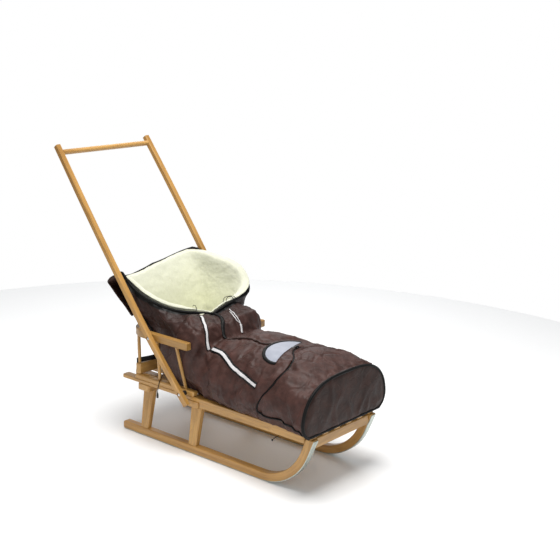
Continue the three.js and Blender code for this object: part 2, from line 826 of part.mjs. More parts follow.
// Section of the cover between the collar's form and the body's.
function archTable(collarPart) {
  const half = archShares.map(([y, z], i) => [
    mix(y, collarShares[i][0], collarPart), mix(z, collarShares[i][1], collarPart),
  ]);
  return [...half, [0, 1], ...half.map(([y, z]) => [-y, z]).reverse()];
}

// Half width and height of the cover along its length, as [share of length, half width, height].
const coverRearHalf = 167;
const coverWaistHalf = 172;
const coverMiddleHalf = 190;
const coverFrontHalf = 222;
const coverCollarHeight = 246;
const coverWaistHeight = 200;
const coverMiddleHeight = 207;
const coverFrontHeight = 176;
const coverCollarShare = 0.12;
const coverWaistShare = 0.19;
const coverStations = [
  [0, coverRearHalf, coverCollarHeight],
  [coverCollarShare, coverWaistHalf, mix(coverWaistHeight, coverCollarHeight, 0.75)],
  [coverWaistShare, coverWaistHalf, coverWaistHeight],
  [0.42, coverMiddleHalf, coverMiddleHeight],
  [0.75, mix(coverMiddleHalf, coverFrontHalf, 0.5), coverMiddleHeight],
  [1, coverFrontHalf, coverFrontHeight],
];

function coverSize(x) {
  const share = (x - muffRear) / (muffFront - muffRear);
  let k = 0;
  while (k + 2 < coverStations.length && share > coverStations[k + 1][0]) {
    k += 1;
  }
  const [s0, w0, h0] = coverStations[k];
  const [s1, w1, h1] = coverStations[k + 1];
  const u = (share - s0) / (s1 - s0);
  const smooth = u * u * (3 - 2 * u);
  return { half: mix(w0, w1, smooth), height: mix(h0, h1, smooth) };
}

const coverBottom = seatHeight + softGap;

function archRow(x, inset) {
  const { half, height } = coverSize(x);
  const share = (x - muffRear) / (muffFront - muffRear);
  const collarPart = (coverWaistShare - share) / (coverWaistShare - coverCollarShare);
  return archTable(Math.max(Math.min(collarPart, 1), 0)).map(([y, z]) => (
    new THREE.Vector3(x, y * (half - inset), coverBottom + z * (height - inset))
  ));
}

// How far the zip's seam bends forward over each shoulder, point by point from the hem to the top.
const zipBend = [0, 0, 0, 14, 42, 60, 70, 52, 10, 0];
const zipBends = [...zipBend, ...zipBend.slice(0, -1).reverse()];

// A section whose points run ahead of x by shares of the seam's bend.
function bentRow(x, bendShare, inset) {
  return zipBends.map((bend, i) => archRow(x + bend * bendShare, inset)[i]);
}

// A stretch of the cover between two places, each with its share of the seam's bend.
function makeCover(name, from, to, steps) {
  const outer = [];
  const inner = [];
  for (let i = 0; i <= steps; i += 1) {
    const x = mix(from.x, to.x, i / steps);
    const bend = mix(from.bend, to.bend, i / steps);
    outer.push(bentRow(x, bend, 0));
    inner.push(bentRow(x, bend, coverThickness));
  }
  addPiece(name, thickSheet(outer, inner), cloth);
}

function makeEndPanel() {
  const { half, height } = coverSize(muffFront);
  const shape = new THREE.Shape(archTable(0).map(([y, z]) => new THREE.Vector2(y * half, z * height)));
  const panel = new THREE.ExtrudeGeometry(shape, {
    depth: endPanelThickness - endPanelEdge,
    bevelEnabled: true,
    bevelSize: endPanelEdge,
    bevelOffset: -endPanelEdge,
    bevelThickness: endPanelEdge / 2,
    bevelSegments: 2,
  });
  panel.rotateX(Math.PI / 2);
  panel.rotateZ(Math.PI / 2);
  panel.translate(muffFront + softGap + endPanelEdge / 2, 0, coverBottom);
  addPiece('footmuff_end_panel', panel, darkCloth);
}

function makeZipTape() {
  const x0 = muffZipX - muffZipWidth / 2 + zipTapeGap;
  const x1 = muffZipX + muffZipWidth / 2 - zipTapeGap;
  const inset = coverThickness / 3;
  const outer = [bentRow(x0, 1, inset), bentRow(x1, 1, inset)];
  const inner = [bentRow(x0, 1, 2 * inset), bentRow(x1, 1, 2 * inset)];
  addPiece('zip_tape', thickSheet(outer, inner), black);
}

// A crowned pad: full in the middle, thin along its edges.
function crown(u, v) {
  const edgeShare = 0.4;
  const fall = (1 - Math.abs(2 * u - 1) ** 4) * (1 - Math.abs(2 * v - 1) ** 4);
  return mix(edgeShare, 1, fall);
}

function makeMat() {
  const top = [];
  const bottom = [];
  const rows = 12;
  const columns = 8;
  const z = seatHeight + softGap;
  for (let i = 0; i <= rows; i += 1) {
    const x = mix(matRear, muffFront, i / rows);
    const half = archRow(Math.max(x, muffRear), coverThickness)[0].y - matMargin;
    top.push([]);
    bottom.push([]);
    for (let j = 0; j <= columns; j += 1) {
      const y = mix(-half, half, j / columns);
      top[i].push(new THREE.Vector3(x, -y, z + matThickness * crown(i / rows, j / columns)));
      bottom[i].push(new THREE.Vector3(x, -y, z));
    }
  }
  const room = tieDiameter + 4 * slip;
  const y = -slatPitch * (slatCount - 3) / 2;
  const half = slatWidth / 2 + room;
  const groove = box(tieX - room, tieX + room, y - half, y + half, z - overrun, seatHeight + room + slip);
  addPiece('footmuff_mat', cut(thickSheet(top, bottom), [groove]), fleece);
}

// Rear face of the back pad at a height; it clears the arm rail's inner face at the rail's top.
function backFaceX(z) {
  return armRailRear + armRailThickness + backPadStandoff + (armRailTop - z) * backPadRecline;
}

// How far the pad comes forward at a distance from its middle.
function backCurl(y, z) {
  const rise = (z - seatHeight) / (backPadTop - seatHeight);
  return mix(0.4, 1, rise) * backPadRounding * (y / backHalfWidth(z)) ** 4;
}

function backHalfWidth(z) {
  const low = seatHeight;
  const neck = armRailTop + backPadStandoff;
  if (z <= neck) {
    return mix(backPadFootHalf, backPadWaistHalf, (z - low) / (neck - low));
  }
  const u = Math.min((z - neck) / (backPadHeadHalf - backPadWaistHalf), 1);
  return mix(backPadWaistHalf, backPadHeadHalf, Math.sin(u * Math.PI / 2));
}

const backColumns = 10;
const backRows = 14;

function backTopZ(across) {
  return backPadTop + backPadPeak * across * across + backPadTilt * across;
}

// A sheet that follows the back pad, from a height up to a margin below its top edge.
function padSheet(z0, margin, rows, columns, frontOffset, rearOffset, halfAt, crowned) {
  const front = [];
  const rear = [];
  for (let i = 0; i <= rows; i += 1) {
    front.push([]);
    rear.push([]);
    for (let j = 0; j <= columns; j += 1) {
      const across = mix(-1, 1, j / columns);
      const z = mix(z0, backTopZ(across) - margin, i / rows);
      const y = across * halfAt(z);
      const swell = crown(i / rows, j / columns);
      const thin = crowned ? (1 - swell) * (frontOffset - rearOffset) / 2 : 0;
      const x = backFaceX(z) + backCurl(y, z);
      front[i].push(new THREE.Vector3(x + frontOffset - thin, y, z));
      rear[i].push(new THREE.Vector3(x + rearOffset, y, z));
    }
  }
  return thickSheet(front, rear);
}

function makeBackPad() {
  const z0 = seatHeight + softGap;
  const sheet = padSheet(z0, 0, backRows, backColumns, backPadThickness, 0, backHalfWidth, true);
  addPiece('footmuff_back', sheet, cloth);
}

function makeLining() {
  const z0 = seatHeight + matThickness + 2 * softGap;
  const rear = backPadThickness + softGap;
  const half = (z) => backHalfWidth(z) - liningBorder;
  const sheet = padSheet(z0, liningThickness, 12, 8, rear + liningThickness, rear, half, false);
  addPiece('footmuff_lining', sheet, fleece);
}

// Ribs of the mouth's side panels from the seat up to the rim, front of the back pad to the cover, as
// shares of the mouth's length, half width and height. The last rib follows the cover's rear edge.
const hem = 0.012;
const wingTables = {
  right: [
    [[0.85, 0.81, hem], [0.715, 0.9, 0.21], [0.57, 0.955, 0.41], [0.43, 1.075, 0.61], [0.22, 1.15, 0.812]],
    [[0.907, 0.82, hem], [0.8, 0.92, 0.21], [0.69, 0.99, 0.4], [0.58, 1.08, 0.58], [0.46, 1.12, 0.735]],
    [[0.96, 0.83, hem], [0.915, 0.95, 0.21], [0.88, 1.01, 0.385], [0.82, 0.97, 0.54], [0.725, 0.74, 0.638]],
  ],
  left: [
    [[0.85, 0.81, hem], [0.715, 0.9, 0.21], [0.575, 0.96, 0.42], [0.5, 1.26, 0.68], [0.42, 1.31, 0.92]],
    [[0.907, 0.82, hem], [0.8, 0.92, 0.21], [0.7, 0.99, 0.41], [0.72, 1.3, 0.64], [0.76, 1.4, 0.86]],
    [[0.96, 0.83, hem], [0.92, 0.95, 0.21], [0.9, 1.01, 0.4], [0.91, 1.17, 0.56], [0.94, 1.3, 0.73]],
  ],
};

// The back pad's side edge, just in front of its face.
function wingRearRib(side) {
  const low = seatHeight + hem * mouthHeight;
  const high = backTopZ(side.y) - softGap;
  return [0, 0.25, 0.5, 0.75, 1].map((share) => {
    const z = mix(low, high, share);
    const x = backFaceX(z) + backCurl(backHalfWidth(z), z) + backPadThickness + 2 * softGap;
    return new THREE.Vector3(x, side.y * (backHalfWidth(z) - softGap), z);
  });
}

// Half of the cover's rear edge, from the hem to the middle of the top.
function wingFrontRib(side) {
  const arch = archRow(muffRear - softGap, 0).slice(0, archShares.length + 1);
  return [0, 0.25, 0.5, 0.75, 1].map((share) => {
    const point = arch[Math.round(share * (arch.length - 1))].clone();
    point.y = side.y * Math.max(point.y, softGap);
    return point;
  });
}

function makeWing(side) {
  const hand = wingTables[side.name].map((rib) => rib.map(([u, v, w]) => (
    new THREE.Vector3(u * mouthLength, side.y * v * mouthHalfWidth, seatHeight + w * mouthHeight)
  )));
  const ribs = [wingRearRib(side), ...hand, wingFrontRib(side)].map((rib) => new THREE.CatmullRomCurve3(rib));
  const columns = 10;
  const rows = 12;
  const outer = [];
  for (let i = 0; i <= rows; i += 1) {
    const line = new THREE.CatmullRomCurve3(ribs.map((rib) => rib.getPoint(i / rows)));
    outer.push([]);
    for (let j = 0; j <= columns; j += 1) {
      outer[i].push(line.getPoint(j / columns));
    }
  }
  const inner = outer.map((row, i) => row.map((point, j) => {
    const along = row[Math.min(j + 1, columns)].clone().sub(row[Math.max(j - 1, 0)]);
    const up = outer[Math.min(i + 1, rows)][j].clone().sub(outer[Math.max(i - 1, 0)][j]);
    const inward = along.cross(up).normalize().multiplyScalar(side.y);
    if (j === columns) {
      inward.setX(0).normalize();
    }
    if (i === rows && j === columns) {
      inward.set(0, 0, -1);
    }
    return point.clone().addScaledVector(inward, wingPanelThickness);
  }));
  const geometry = side.y < 0 ? thickSheet(outer, inner) : thickSheet(inner, outer);
  addPiece(`footmuff_wing_${side.name}`, geometry, cloth);
}

// The loose pocket behind the back, which slips over the backrest: a sheet from the pad's top edge to its
// rear face, standing off most a share of the way down.
const pocketShares = [[0, 0], [0.08, 0.3], [0.2, 0.8], [0.3, 1], [0.46, 0.8], [0.72, 0.38], [1, 0]];

function makePocket() {
  const outer = [];
  const inner = [];
  const columns = backColumns;
  for (const [down, off] of pocketShares) {
    outer.push([]);
    inner.push([]);
    for (let j = 0; j <= columns; j += 1) {
      const across = mix(-1, 1, j / columns);
      const z = mix(backTopZ(across) - pocketThickness, pocketBottom, down);
      const y = across * backHalfWidth(z);
      const depth = off * pocketDepth * mix(0.45, 1, across * across);
      const x = backFaceX(z) + backCurl(y, z) - softGap - depth;
      inner[inner.length - 1].push(new THREE.Vector3(x, y, z));
      const outside = new THREE.Vector3(x - pocketThickness, y, z - pocketThickness * (0.5 - down));
      outer[outer.length - 1].push(outside);
    }
  }
  addPiece('footmuff_pocket', thickSheet(outer, inner), darkCloth);
}

// Zip slider and puller at the top of the cover

function makeZipPull() {
  const { height } = coverSize(muffZipX);
  const top = coverBottom + height + slip;
  const plan = roundedPlan(
    muffZipX - sliderWidth / 2, muffZipX + sliderWidth / 2,
    -sliderLength / 2, sliderLength / 2, sliderWidth / 4,
  );
  const body = planPlate(plan, sliderHeight, top, sliderHeight / 6, 3);
  const lugHeight = pinDiameter * 3;
  const lugTop = top + sliderHeight + lugHeight;
  const lug = sliderWidth / 4;
  const lugs = [-1, 1].map((hand) => {
    const x = muffZipX + hand * (sliderWidth / 2 - lug / 2);
    return box(x - lug / 2, x + lug / 2, -lugHeight / 2, lugHeight / 2, top + sliderHeight - slip, lugTop);
  });
  const pinZ = lugTop - lugHeight / 2;
  const pin = new THREE.CylinderGeometry(pinDiameter / 2, pinDiameter / 2, sliderWidth - lug, smallSides);
  pin.rotateZ(Math.PI / 2);
  pin.translate(muffZipX, 0, pinZ);
  addPiece('zip_slider', join([body, ...lugs, pin]), black);

  const eye = (pinDiameter / 2 + runningGap) / Math.cos(Math.PI / smallSides);
  const inside = sliderWidth - 2 * lug - 4 * slip;
  const rim = eye + pullerThickness / 2;
  const shape = new THREE.Shape();
  shape.absarc(0, 0, rim, Math.PI / 2, Math.PI * 1.5, false);
  shape.lineTo(pullerLength, -pullerThickness / 2);
  shape.lineTo(pullerLength, pullerThickness / 2);
  const hole = new THREE.Path();
  hole.absarc(0, 0, eye, 0, Math.PI * 2, true);
  shape.holes.push(hole);
  const flat = { bevelEnabled: false, curveSegments: smallSides };
  const neck = new THREE.ExtrudeGeometry(shape, { ...flat, depth: inside });
  neck.translate(0, 0, -inside / 2);
  const tab = new THREE.Shape();
  const half = pullerWidth / 2;
  tab.moveTo(sliderLength, -half * 0.6);
  tab.lineTo(pullerLength - half, -half);
  tab.absarc(pullerLength - half, 0, half, -Math.PI / 2, Math.PI / 2, false);
  tab.lineTo(sliderLength, half * 0.6);
  const leaf = new THREE.ExtrudeGeometry(tab, { ...flat, depth: pullerThickness });
  leaf.translate(0, 0, -pullerThickness / 2);
  leaf.rotateX(Math.PI / 2);
  const puller = join([neck, leaf]);
  puller.rotateX(Math.PI / 2);
  puller.rotateZ(-Math.PI / 2);
  puller.translate(muffZipX, 0, pinZ);
  addPiece('zip_puller', puller, black);
}

// Strap that holds the footmuff's back to the rear spindles

function makeStrap() {
  const low = backBoardTop + strapRise;
  const z = low + strapHeight / 2;
  const climb = (z - backBoardTop) / (armRailBottom - backBoardTop);
  const rear = spindles[0];
  const spindleX = mix(rear.footX, rear.headX, climb);
  const spindleY = mix(sideRailY, rear.headY, climb);
  const inside = spindleBelly / 2 + strapSlack;
  const outside = inside + strapThickness;
  const parts = [];
  for (const side of sides) {
    const loop = new THREE.Shape();
    loop.absarc(spindleX, side.y * spindleY, outside, 0, Math.PI * 2, false);
    const bore = new THREE.Path();
    bore.absarc(spindleX, side.y * spindleY, inside, 0, Math.PI * 2, true);
    loop.holes.push(bore);
    parts.push(planPlate(loop, strapHeight, low, 0, roundSides / 2));
  }
  const bow = backFaceX(low + strapHeight) - softGap - strapThickness - spindleX - outside / 2;
  const reach = spindleY - inside;
  const steps = 16;
  const front = [];
  const back = [];
  for (let i = 0; i <= steps; i += 1) {
    const across = mix(-1, 1, i / steps);
    const x = spindleX + outside / 2 + bow * (1 - across * across);
    front.push(new THREE.Vector2(x + strapThickness, across * reach));
    back.push(new THREE.Vector2(x, across * reach));
  }
  parts.push(planPlate(new THREE.Shape([...front, ...back.reverse()]), strapHeight, low, 0, 1));
  addPiece('footmuff_strap', join(parts), black);
}

// Cords

// A cord's section, for a tube along a curve.
function cordSection(diameter) {
  const shape = new THREE.Shape();
  for (let k = 0; k < 8; k += 1) {
    const angle = 2 * Math.PI * k / 8;
    const x = diameter / 2 * Math.cos(angle);
    const y = diameter / 2 * Math.sin(angle);
    if (k === 0) {
      shape.moveTo(x, y);
    } else {
      shape.lineTo(x, y);
    }
  }
  return shape;
}

function fromSeat(route) {
  return route.map(([x, y, rise]) => [x, y, seatHeight + rise]);
}

function cordTube(points, diameter, steps, closed) {
  const curve = new THREE.CatmullRomCurve3(points.map(([x, y, z]) => new THREE.Vector3(x, y, z)), closed);
  return new THREE.ExtrudeGeometry(cordSection(diameter), { steps, extrudePath: curve, bevelEnabled: false });
}

// The drawcord leaves the right side panel, crosses the side rail and hangs past the seat's edge. Its
// points stand above or below the slats' top.
const drawcordRoute = [
  [207, -148.2, 99], [206.5, -149.8, 96], [205.5, -152.5, 90], [204.5, -155.5, 81], [203, -158.8, 70],
  [201, -162.2, 58], [199, -165.7, 46], [197, -169, 35.5], [195, -172.4, 27], [193, -175.2, 20.5],
  [191, -176.3, 13.5], [189, -176.5, 6], [187.2, -176.6, -1.5], [185.6, -176.8, -9], [184.4, -177, -16],
  [183.6, -177.1, -22],
];

function makeDrawcord() {
  addPiece('drawcord', cordTube(fromSeat(drawcordRoute), drawcordDiameter, 40, false), black);
  const [x, y, rise] = drawcordRoute[drawcordRoute.length - 1];
  const top = seatHeight + rise - slip;
  const wide = cordEndDiameter / 2;
  const profile = [
    [0, top - cordEndLength], [wide * 0.72, top - cordEndLength * 0.97], [wide, top - cordEndLength * 0.8],
    [wide * 0.9, top - cordEndLength * 0.5], [wide * 0.5, top - cordEndLength * 0.12],
    [wide * 0.42, top], [0, top],
  ];
  const drop = new THREE.LatheGeometry(profile.map(([r, h]) => new THREE.Vector2(r, h)), roundSides);
  drop.rotateX(Math.PI / 2);
  drop.translate(x, y, 0);
  addPiece('cord_end', drop, black);
}

// The tie goes round the second slat from the right, and its tail runs out under the seat's edge, at
// heights from the slats' top.
const tieTailRoute = [
  [745, -103, -16.9], [744.7, -109, -17.2], [744, -115.5, -19], [743, -121.5, -22.8], [741.7, -127.5, -27.6],
  [740.2, -133.5, -31.8], [738.3, -139.5, -34.6], [736, -145.5, -35.7], [733.3, -151.5, -35.8],
  [730.2, -157.5, -36.2], [727, -163, -37.6], [723.6, -168, -40.4], [720.2, -172.2, -43.8],
  [716.8, -175.8, -47.7], [713.6, -178.8, -52],
];

// Points round a rectangle with rounded corners, in Y and Z about a middle, at one X.
function loopAround(x, yMiddle, zMiddle, halfWidth, halfHeight, corner) {
  const points = [];
  const quarter = Math.PI / 2;
  for (let k = 0; k < 4; k += 1) {
    const cy = (k === 0 || k === 3 ? 1 : -1) * (halfWidth - corner);
    const cz = (k < 2 ? 1 : -1) * (halfHeight - corner);
    for (const turn of [0, 0.5, 1]) {
      const angle = (k + turn) * quarter;
      points.push([x, yMiddle + cy + corner * Math.cos(angle), zMiddle + cz + corner * Math.sin(angle)]);
    }
    if (k % 2 === 0) {
      points.push([x, yMiddle, zMiddle + (k === 0 ? 1 : -1) * halfHeight]);
    } else {
      points.push([x, yMiddle + (k === 1 ? -1 : 1) * halfWidth, zMiddle]);
    }
  }
  return points;
}

function makeTie() {
  const off = tieDiameter / 2 + 2 * slip;
  const y = -slatPitch * (slatCount - 3) / 2;
  const z = seatHeight - slatThickness / 2;
  const loop = loopAround(tieX, y, z, slatWidth / 2 + off, slatThickness / 2 + off, 2 * tieDiameter);
  addPiece('tie_loop', cordTube(loop, tieDiameter, 44, true), black);
  addPiece('tie_tail', cordTube(fromSeat(tieTailRoute), tieDiameter, 20, false), black);
}

// The whole sledge

for (const side of sides) {
  makeRunner(side);
  makeLeg('rear', rearLegX, side);
  makeLeg('middle', middleLegX, side);
  makeUnderRail(side);
  makeSideRail(side);
  for (const spindle of spindles) {
    makeSpindle(spindle, side);
  }
  makeBar(side);
  makeBolt('lower', lowerBolt, lowerSeat, nutThickness, side);
  makeBolt('upper', upperBolt, upperSeat, wingHubHeight, side);
  makeSpacer(side);
  makeFlangeNut(side);
  makeWingNut(side);
  makeWing(side);
}
makeCrossbar('rear', rearLegX);
makeCrossbar('middle', middleLegX);
makeFrontBar();
makeSlats();
makeBackBoard();
makeArmRail();
makeDowel();
makeCover('footmuff_cover', { x: muffRear, bend: 0 }, { x: muffZipX - muffZipWidth / 2, bend: 1 }, 12);
makeCover('footmuff_foot_cover', { x: muffZipX + muffZipWidth / 2, bend: 1 }, { x: muffFront, bend: 0 }, 8);
makeZipTape();
makeEndPanel();
makeMat();
makeBackPad();
makeLining();
makePocket();
makeZipPull();
makeStrap();
makeDrawcord();
makeTie();

// Centre the sledge over the origin, measured without the loose cords.
const cordNames = ['drawcord', 'cord_end', 'tie_tail'];
const extent = new THREE.Box3();
for (const mesh of sledge.children) {
  if (!cordNames.includes(mesh.name)) {
    extent.expandByObject(mesh);
  }
}
sledge.position.x = -(extent.min.x + extent.max.x) / 2;
sledge.position.y = -(extent.min.y + extent.max.y) / 2;

export default sledge;
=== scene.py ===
import math

import bpy
import numpy as np
from mathutils import Matrix, Vector, noise
from mathutils.bvhtree import BVHTree
from mathutils.kdtree import KDTree


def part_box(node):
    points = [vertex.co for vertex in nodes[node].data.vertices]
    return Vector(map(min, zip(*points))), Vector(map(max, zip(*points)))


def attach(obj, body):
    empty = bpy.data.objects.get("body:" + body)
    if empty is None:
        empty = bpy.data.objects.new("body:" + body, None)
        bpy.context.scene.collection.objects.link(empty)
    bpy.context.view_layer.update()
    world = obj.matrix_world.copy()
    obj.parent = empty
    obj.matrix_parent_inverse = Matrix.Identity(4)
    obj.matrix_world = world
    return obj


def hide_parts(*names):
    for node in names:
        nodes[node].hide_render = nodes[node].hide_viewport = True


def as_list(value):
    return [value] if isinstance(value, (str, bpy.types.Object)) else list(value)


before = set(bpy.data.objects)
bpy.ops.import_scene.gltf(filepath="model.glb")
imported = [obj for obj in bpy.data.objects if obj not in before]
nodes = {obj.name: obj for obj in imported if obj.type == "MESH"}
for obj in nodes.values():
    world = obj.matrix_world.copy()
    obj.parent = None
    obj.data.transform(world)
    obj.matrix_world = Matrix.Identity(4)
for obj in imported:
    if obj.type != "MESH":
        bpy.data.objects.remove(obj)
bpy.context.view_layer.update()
scene = bpy.context.scene

# The design is measured in millimetres from the runners' rear end; this turns it into the row frame.
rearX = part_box("runner_right")[0][0]


def at(x, y, z):
    return Vector((rearX + x / 1000, y / 1000, z / 1000))


def mix(a, b, share):
    return a + (b - a) * share


def clamp(value, low=0.0, high=1.0):
    return max(low, min(high, value))


# Camera, floor and lights

camera = {"place": (2.8259, -2.7494, 1.542), "look": (-0.6127, 0.7506, -0.2473), "roll": 1.5809,
          "lens": 70.9}


def placeCamera():
    look = Vector(camera["look"]).normalized()
    level = look.cross(Vector((0, 0, 1))).normalized()
    upright = level.cross(look)
    roll = math.radians(camera["roll"])
    right = level * math.cos(roll) + upright * math.sin(roll)
    up = upright * math.cos(roll) - level * math.sin(roll)
    data = bpy.data.cameras.new("photoCamera")
    data.lens = camera["lens"]
    data.sensor_width = 36
    data.clip_end = 60
    holder = bpy.data.objects.new("photoCamera", data)
    scene.collection.objects.link(holder)
    x, y, z = camera["place"]
    matrix = Matrix((right, up, -look)).transposed().to_4x4()
    matrix.translation = Vector((x + rearX, y, z))
    holder.matrix_world = matrix
    scene.camera = holder


lights = {
    "key": {"place": (0.35, -0.35, 3.5), "aim": (0.1, 0, 0.3), "size": 2.0, "power": 125,
            "color": (1, 0.985, 0.96)},
    "fill": {"place": (2.3, -2.9, 1.5), "aim": (0.1, 0, 0.3), "size": 2.4, "power": 26,
             "color": (1, 0.98, 0.95)},
    "rim": {"place": (-1.6, 2.2, 2.2), "aim": (-0.1, 0, 0.5), "size": 2.0, "power": 18, "color": (1, 1, 1)},
}


def placeLights():
    for name, light in lights.items():
        data = bpy.data.lights.new(name, "AREA")
        data.shape = "DISK"
        data.size = light["size"]
        data.energy = light["power"]
        data.color = light["color"]
        holder = bpy.data.objects.new(name, data)
        scene.collection.objects.link(holder)
        holder.location = Vector(light["place"])
        holder.rotation_euler = (holder.location - Vector(light["aim"])).to_track_quat("Z", "Y").to_euler()


studio = {"skyColor": (0.97, 0.98, 1, 1), "skyLight": 0.36, "pageColor": (1, 1, 1, 1),
          "floorColor": (0.95, 0.96, 0.97, 1), "floorRadius": 2.3, "floorRoughness": 0.9}


# The world lights the sledge softly and shows as plain white behind it.
def makeWorld():
    world = bpy.data.worlds.new("paleStudio")
    world.use_nodes = True
    tree = world.node_tree
    soft = tree.nodes["Background"]
    soft.inputs["Color"].default_value = studio["skyColor"]
    soft.inputs["Strength"].default_value = studio["skyLight"]
    page = tree.nodes.new("ShaderNodeBackground")
    page.inputs["Color"].default_value = studio["pageColor"]
    seen = tree.nodes.new("ShaderNodeLightPath")
    either = tree.nodes.new("ShaderNodeMixShader")
    tree.links.new(seen.outputs["Is Camera Ray"], either.inputs[0])
    tree.links.new(soft.outputs[0], either.inputs[1])
    tree.links.new(page.outputs[0], either.inputs[2])
    tree.links.new(either.outputs[0], tree.nodes["World Output"].inputs["Surface"])
    scene.world = world


def makeFloor():
    bpy.ops.mesh.primitive_circle_add(vertices=96, radius=studio["floorRadius"], fill_type="NGON")
    floor = bpy.context.object
    floor.name = "studioFloor"
    material = bpy.data.materials.new("studioFloor")
    material.use_nodes = True
    shader = material.node_tree.nodes["Principled BSDF"]
    shader.inputs["Base Color"].default_value = studio["floorColor"]
    shader.inputs["Roughness"].default_value = studio["floorRoughness"]
    floor.data.materials.append(material)


# Materials

# A node group with these named inputs and outputs; returns it with its input and output nodes.
def effectGroup(name, inputs, outputs):
    group = bpy.data.node_groups.new(name, "ShaderNodeTree")
    for way, sockets in (("INPUT", inputs), ("OUTPUT", outputs)):
        for label, kind in sockets.items():
            group.interface.new_socket(name=label, in_out=way, socket_type="NodeSocket" + kind)
    return group, group.nodes.new("NodeGroupInput"), group.nodes.new("NodeGroupOutput")


def node(tree, kind, **settings):
    made = tree.nodes.new(kind)
    for key, value in settings.items():
        if key in made.inputs.keys():
            made.inputs[key].default_value = value
        else:
            setattr(made, key, value)
    return made


def mathNode(tree, operation, a, b=None):
    made = tree.nodes.new("ShaderNodeMath")
    made.operation = operation
    for k, value in enumerate((a, b)):
        if value is None:
            continue
        if isinstance(value, (int, float)):
            made.inputs[k].default_value = value
        else:
            tree.links.new(value, made.inputs[k])
    return made.outputs[0]


def colorMix(tree, share, a, b, blend="MIX"):
    made = tree.nodes.new("ShaderNodeMix")
    made.data_type = "RGBA"
    made.blend_type = blend
    for socket, value in ((made.inputs[0], share), (made.inputs[6], a), (made.inputs[7], b)):
        if isinstance(value, (int, float, tuple)):
            socket.default_value = value
        else:
            tree.links.new(value, socket)
    return made.outputs[2]


# Coordinates stretched by these amounts along the axes.
def stretched(tree, vector, scale):
    made = node(tree, "ShaderNodeMapping")
    made.inputs["Scale"].default_value = scale
    tree.links.new(vector, made.inputs["Vector"])
    return made.outputs[0]


# A noise read at these coordinates; its settings are numbers or sockets.
def noiseNode(tree, vector, **settings):
    made = tree.nodes.new("ShaderNodeTexNoise")
    for key, value in {"Vector": vector, **settings}.items():
        if isinstance(value, float):
            made.inputs[key].default_value = value
        else:
            tree.links.new(value, made.inputs[key])
    return made.outputs["Fac"]


# 0 where value is low and 1 where it is high.
def rangeNode(tree, value, low, high):
    made = node(tree, "ShaderNodeMapRange")
    made.inputs["From Min"].default_value = low
    made.inputs["From Max"].default_value = high
    tree.links.new(value, made.inputs["Value"])
    return made.outputs[0]


# value times factor plus more.
def scaled(tree, value, factor, more):
    return mathNode(tree, "ADD", mathNode(tree, "MULTIPLY", value, factor), more)


surface = {"Color": "Color", "Roughness": "Float", "Height": "Float"}

# How the noises of wood and of scuffs are stretched along a piece.
grain = {"bandStretch": (2.2, 30, 30), "poreStretch": (22, 420, 420), "poreColor": (0.2, 0.085, 0.025, 1)}
scuffStretch = (120, 900, 900)


# Beech whose grain runs along X of the coordinates given, in metres.
def makeGrainGroup():
    inputs = {"Vector": "Vector", "Light": "Color", "Dark": "Color", "Fleck": "Float"}
    group, source, sink = effectGroup("woodGrain", inputs, surface)
    link = group.links.new
    place = source.outputs["Vector"]
    wide = stretched(group, place, grain["bandStretch"])
    fine = stretched(group, place, grain["poreStretch"])
    bands = noiseNode(group, wide, Scale=1.6, Detail=4.0, Roughness=0.55, Distortion=0.8)
    pores = noiseNode(group, fine, Scale=1.0, Detail=2.0, Roughness=0.6)
    lit = rangeNode(group, bands, 0.33, 0.68)
    base = colorMix(group, lit, source.outputs["Dark"], source.outputs["Light"])
    poreShare = mathNode(group, "MULTIPLY", rangeNode(group, pores, 0.42, 0.34), source.outputs["Fleck"])
    link(colorMix(group, poreShare, base, grain["poreColor"]), sink.inputs["Color"])
    link(scaled(group, pores, 0.25, 0.24), sink.inputs["Roughness"])
    link(mathNode(group, "SUBTRACT", bands, poreShare), sink.inputs["Height"])
    return group


# A plain woven cloth with soft creases.
def makeWeaveGroup():
    inputs = {"Vector": "Vector", "Color": "Color", "Worn": "Color", "Threads": "Float"}
    group, source, sink = effectGroup("clothWeave", inputs, surface)
    link = group.links.new
    place = source.outputs["Vector"]
    mottle = noiseNode(group, place, Scale=28.0, Detail=5.0, Roughness=0.62)
    threads = noiseNode(group, place, Scale=source.outputs["Threads"], Detail=1.0, Roughness=0.5)
    folds = noiseNode(group, place, Scale=26.0, Detail=2.0, Roughness=0.45, Distortion=0.8)
    worn = rangeNode(group, mottle, 0.4, 0.75)
    link(colorMix(group, worn, source.outputs["Color"], source.outputs["Worn"]), sink.inputs["Color"])
    link(scaled(group, mottle, 0.3, 0.34), sink.inputs["Roughness"])
    fold = mathNode(group, "ABSOLUTE", mathNode(group, "SUBTRACT", folds, 0.5))
    link(scaled(group, fold, 2.2, mathNode(group, "MULTIPLY", threads, 0.12)), sink.inputs["Height"])
    return group


# A clumped fleece pile with painted shade in the hollows between its clumps, and no roughness of its own.
def makePileGroup():
    inputs = {"Vector": "Vector", "Color": "Color", "ShadedHollow": "Color"}
    group, source, sink = effectGroup("fleecePile", inputs, {"Color": "Color", "Height": "Float"})
    link = group.links.new
    place = source.outputs["Vector"]
    clump = noiseNode(group, place, Scale=95.0, Detail=5.0, Roughness=0.7, Distortion=0.5)
    fibre = noiseNode(group, place, Scale=520.0, Detail=3.0, Roughness=0.7, Distortion=1.2)
    height = scaled(group, clump, 0.7, mathNode(group, "MULTIPLY", fibre, 0.3))
    # Painted shade: the colour darkens from the clumps' tops into the hollows between them.
    raised = rangeNode(group, height, 0.3, 0.66)
    link(colorMix(group, raised, source.outputs["ShadedHollow"], source.outputs["Color"]), sink.inputs["Color"])
    link(height, sink.inputs["Height"])
    return group


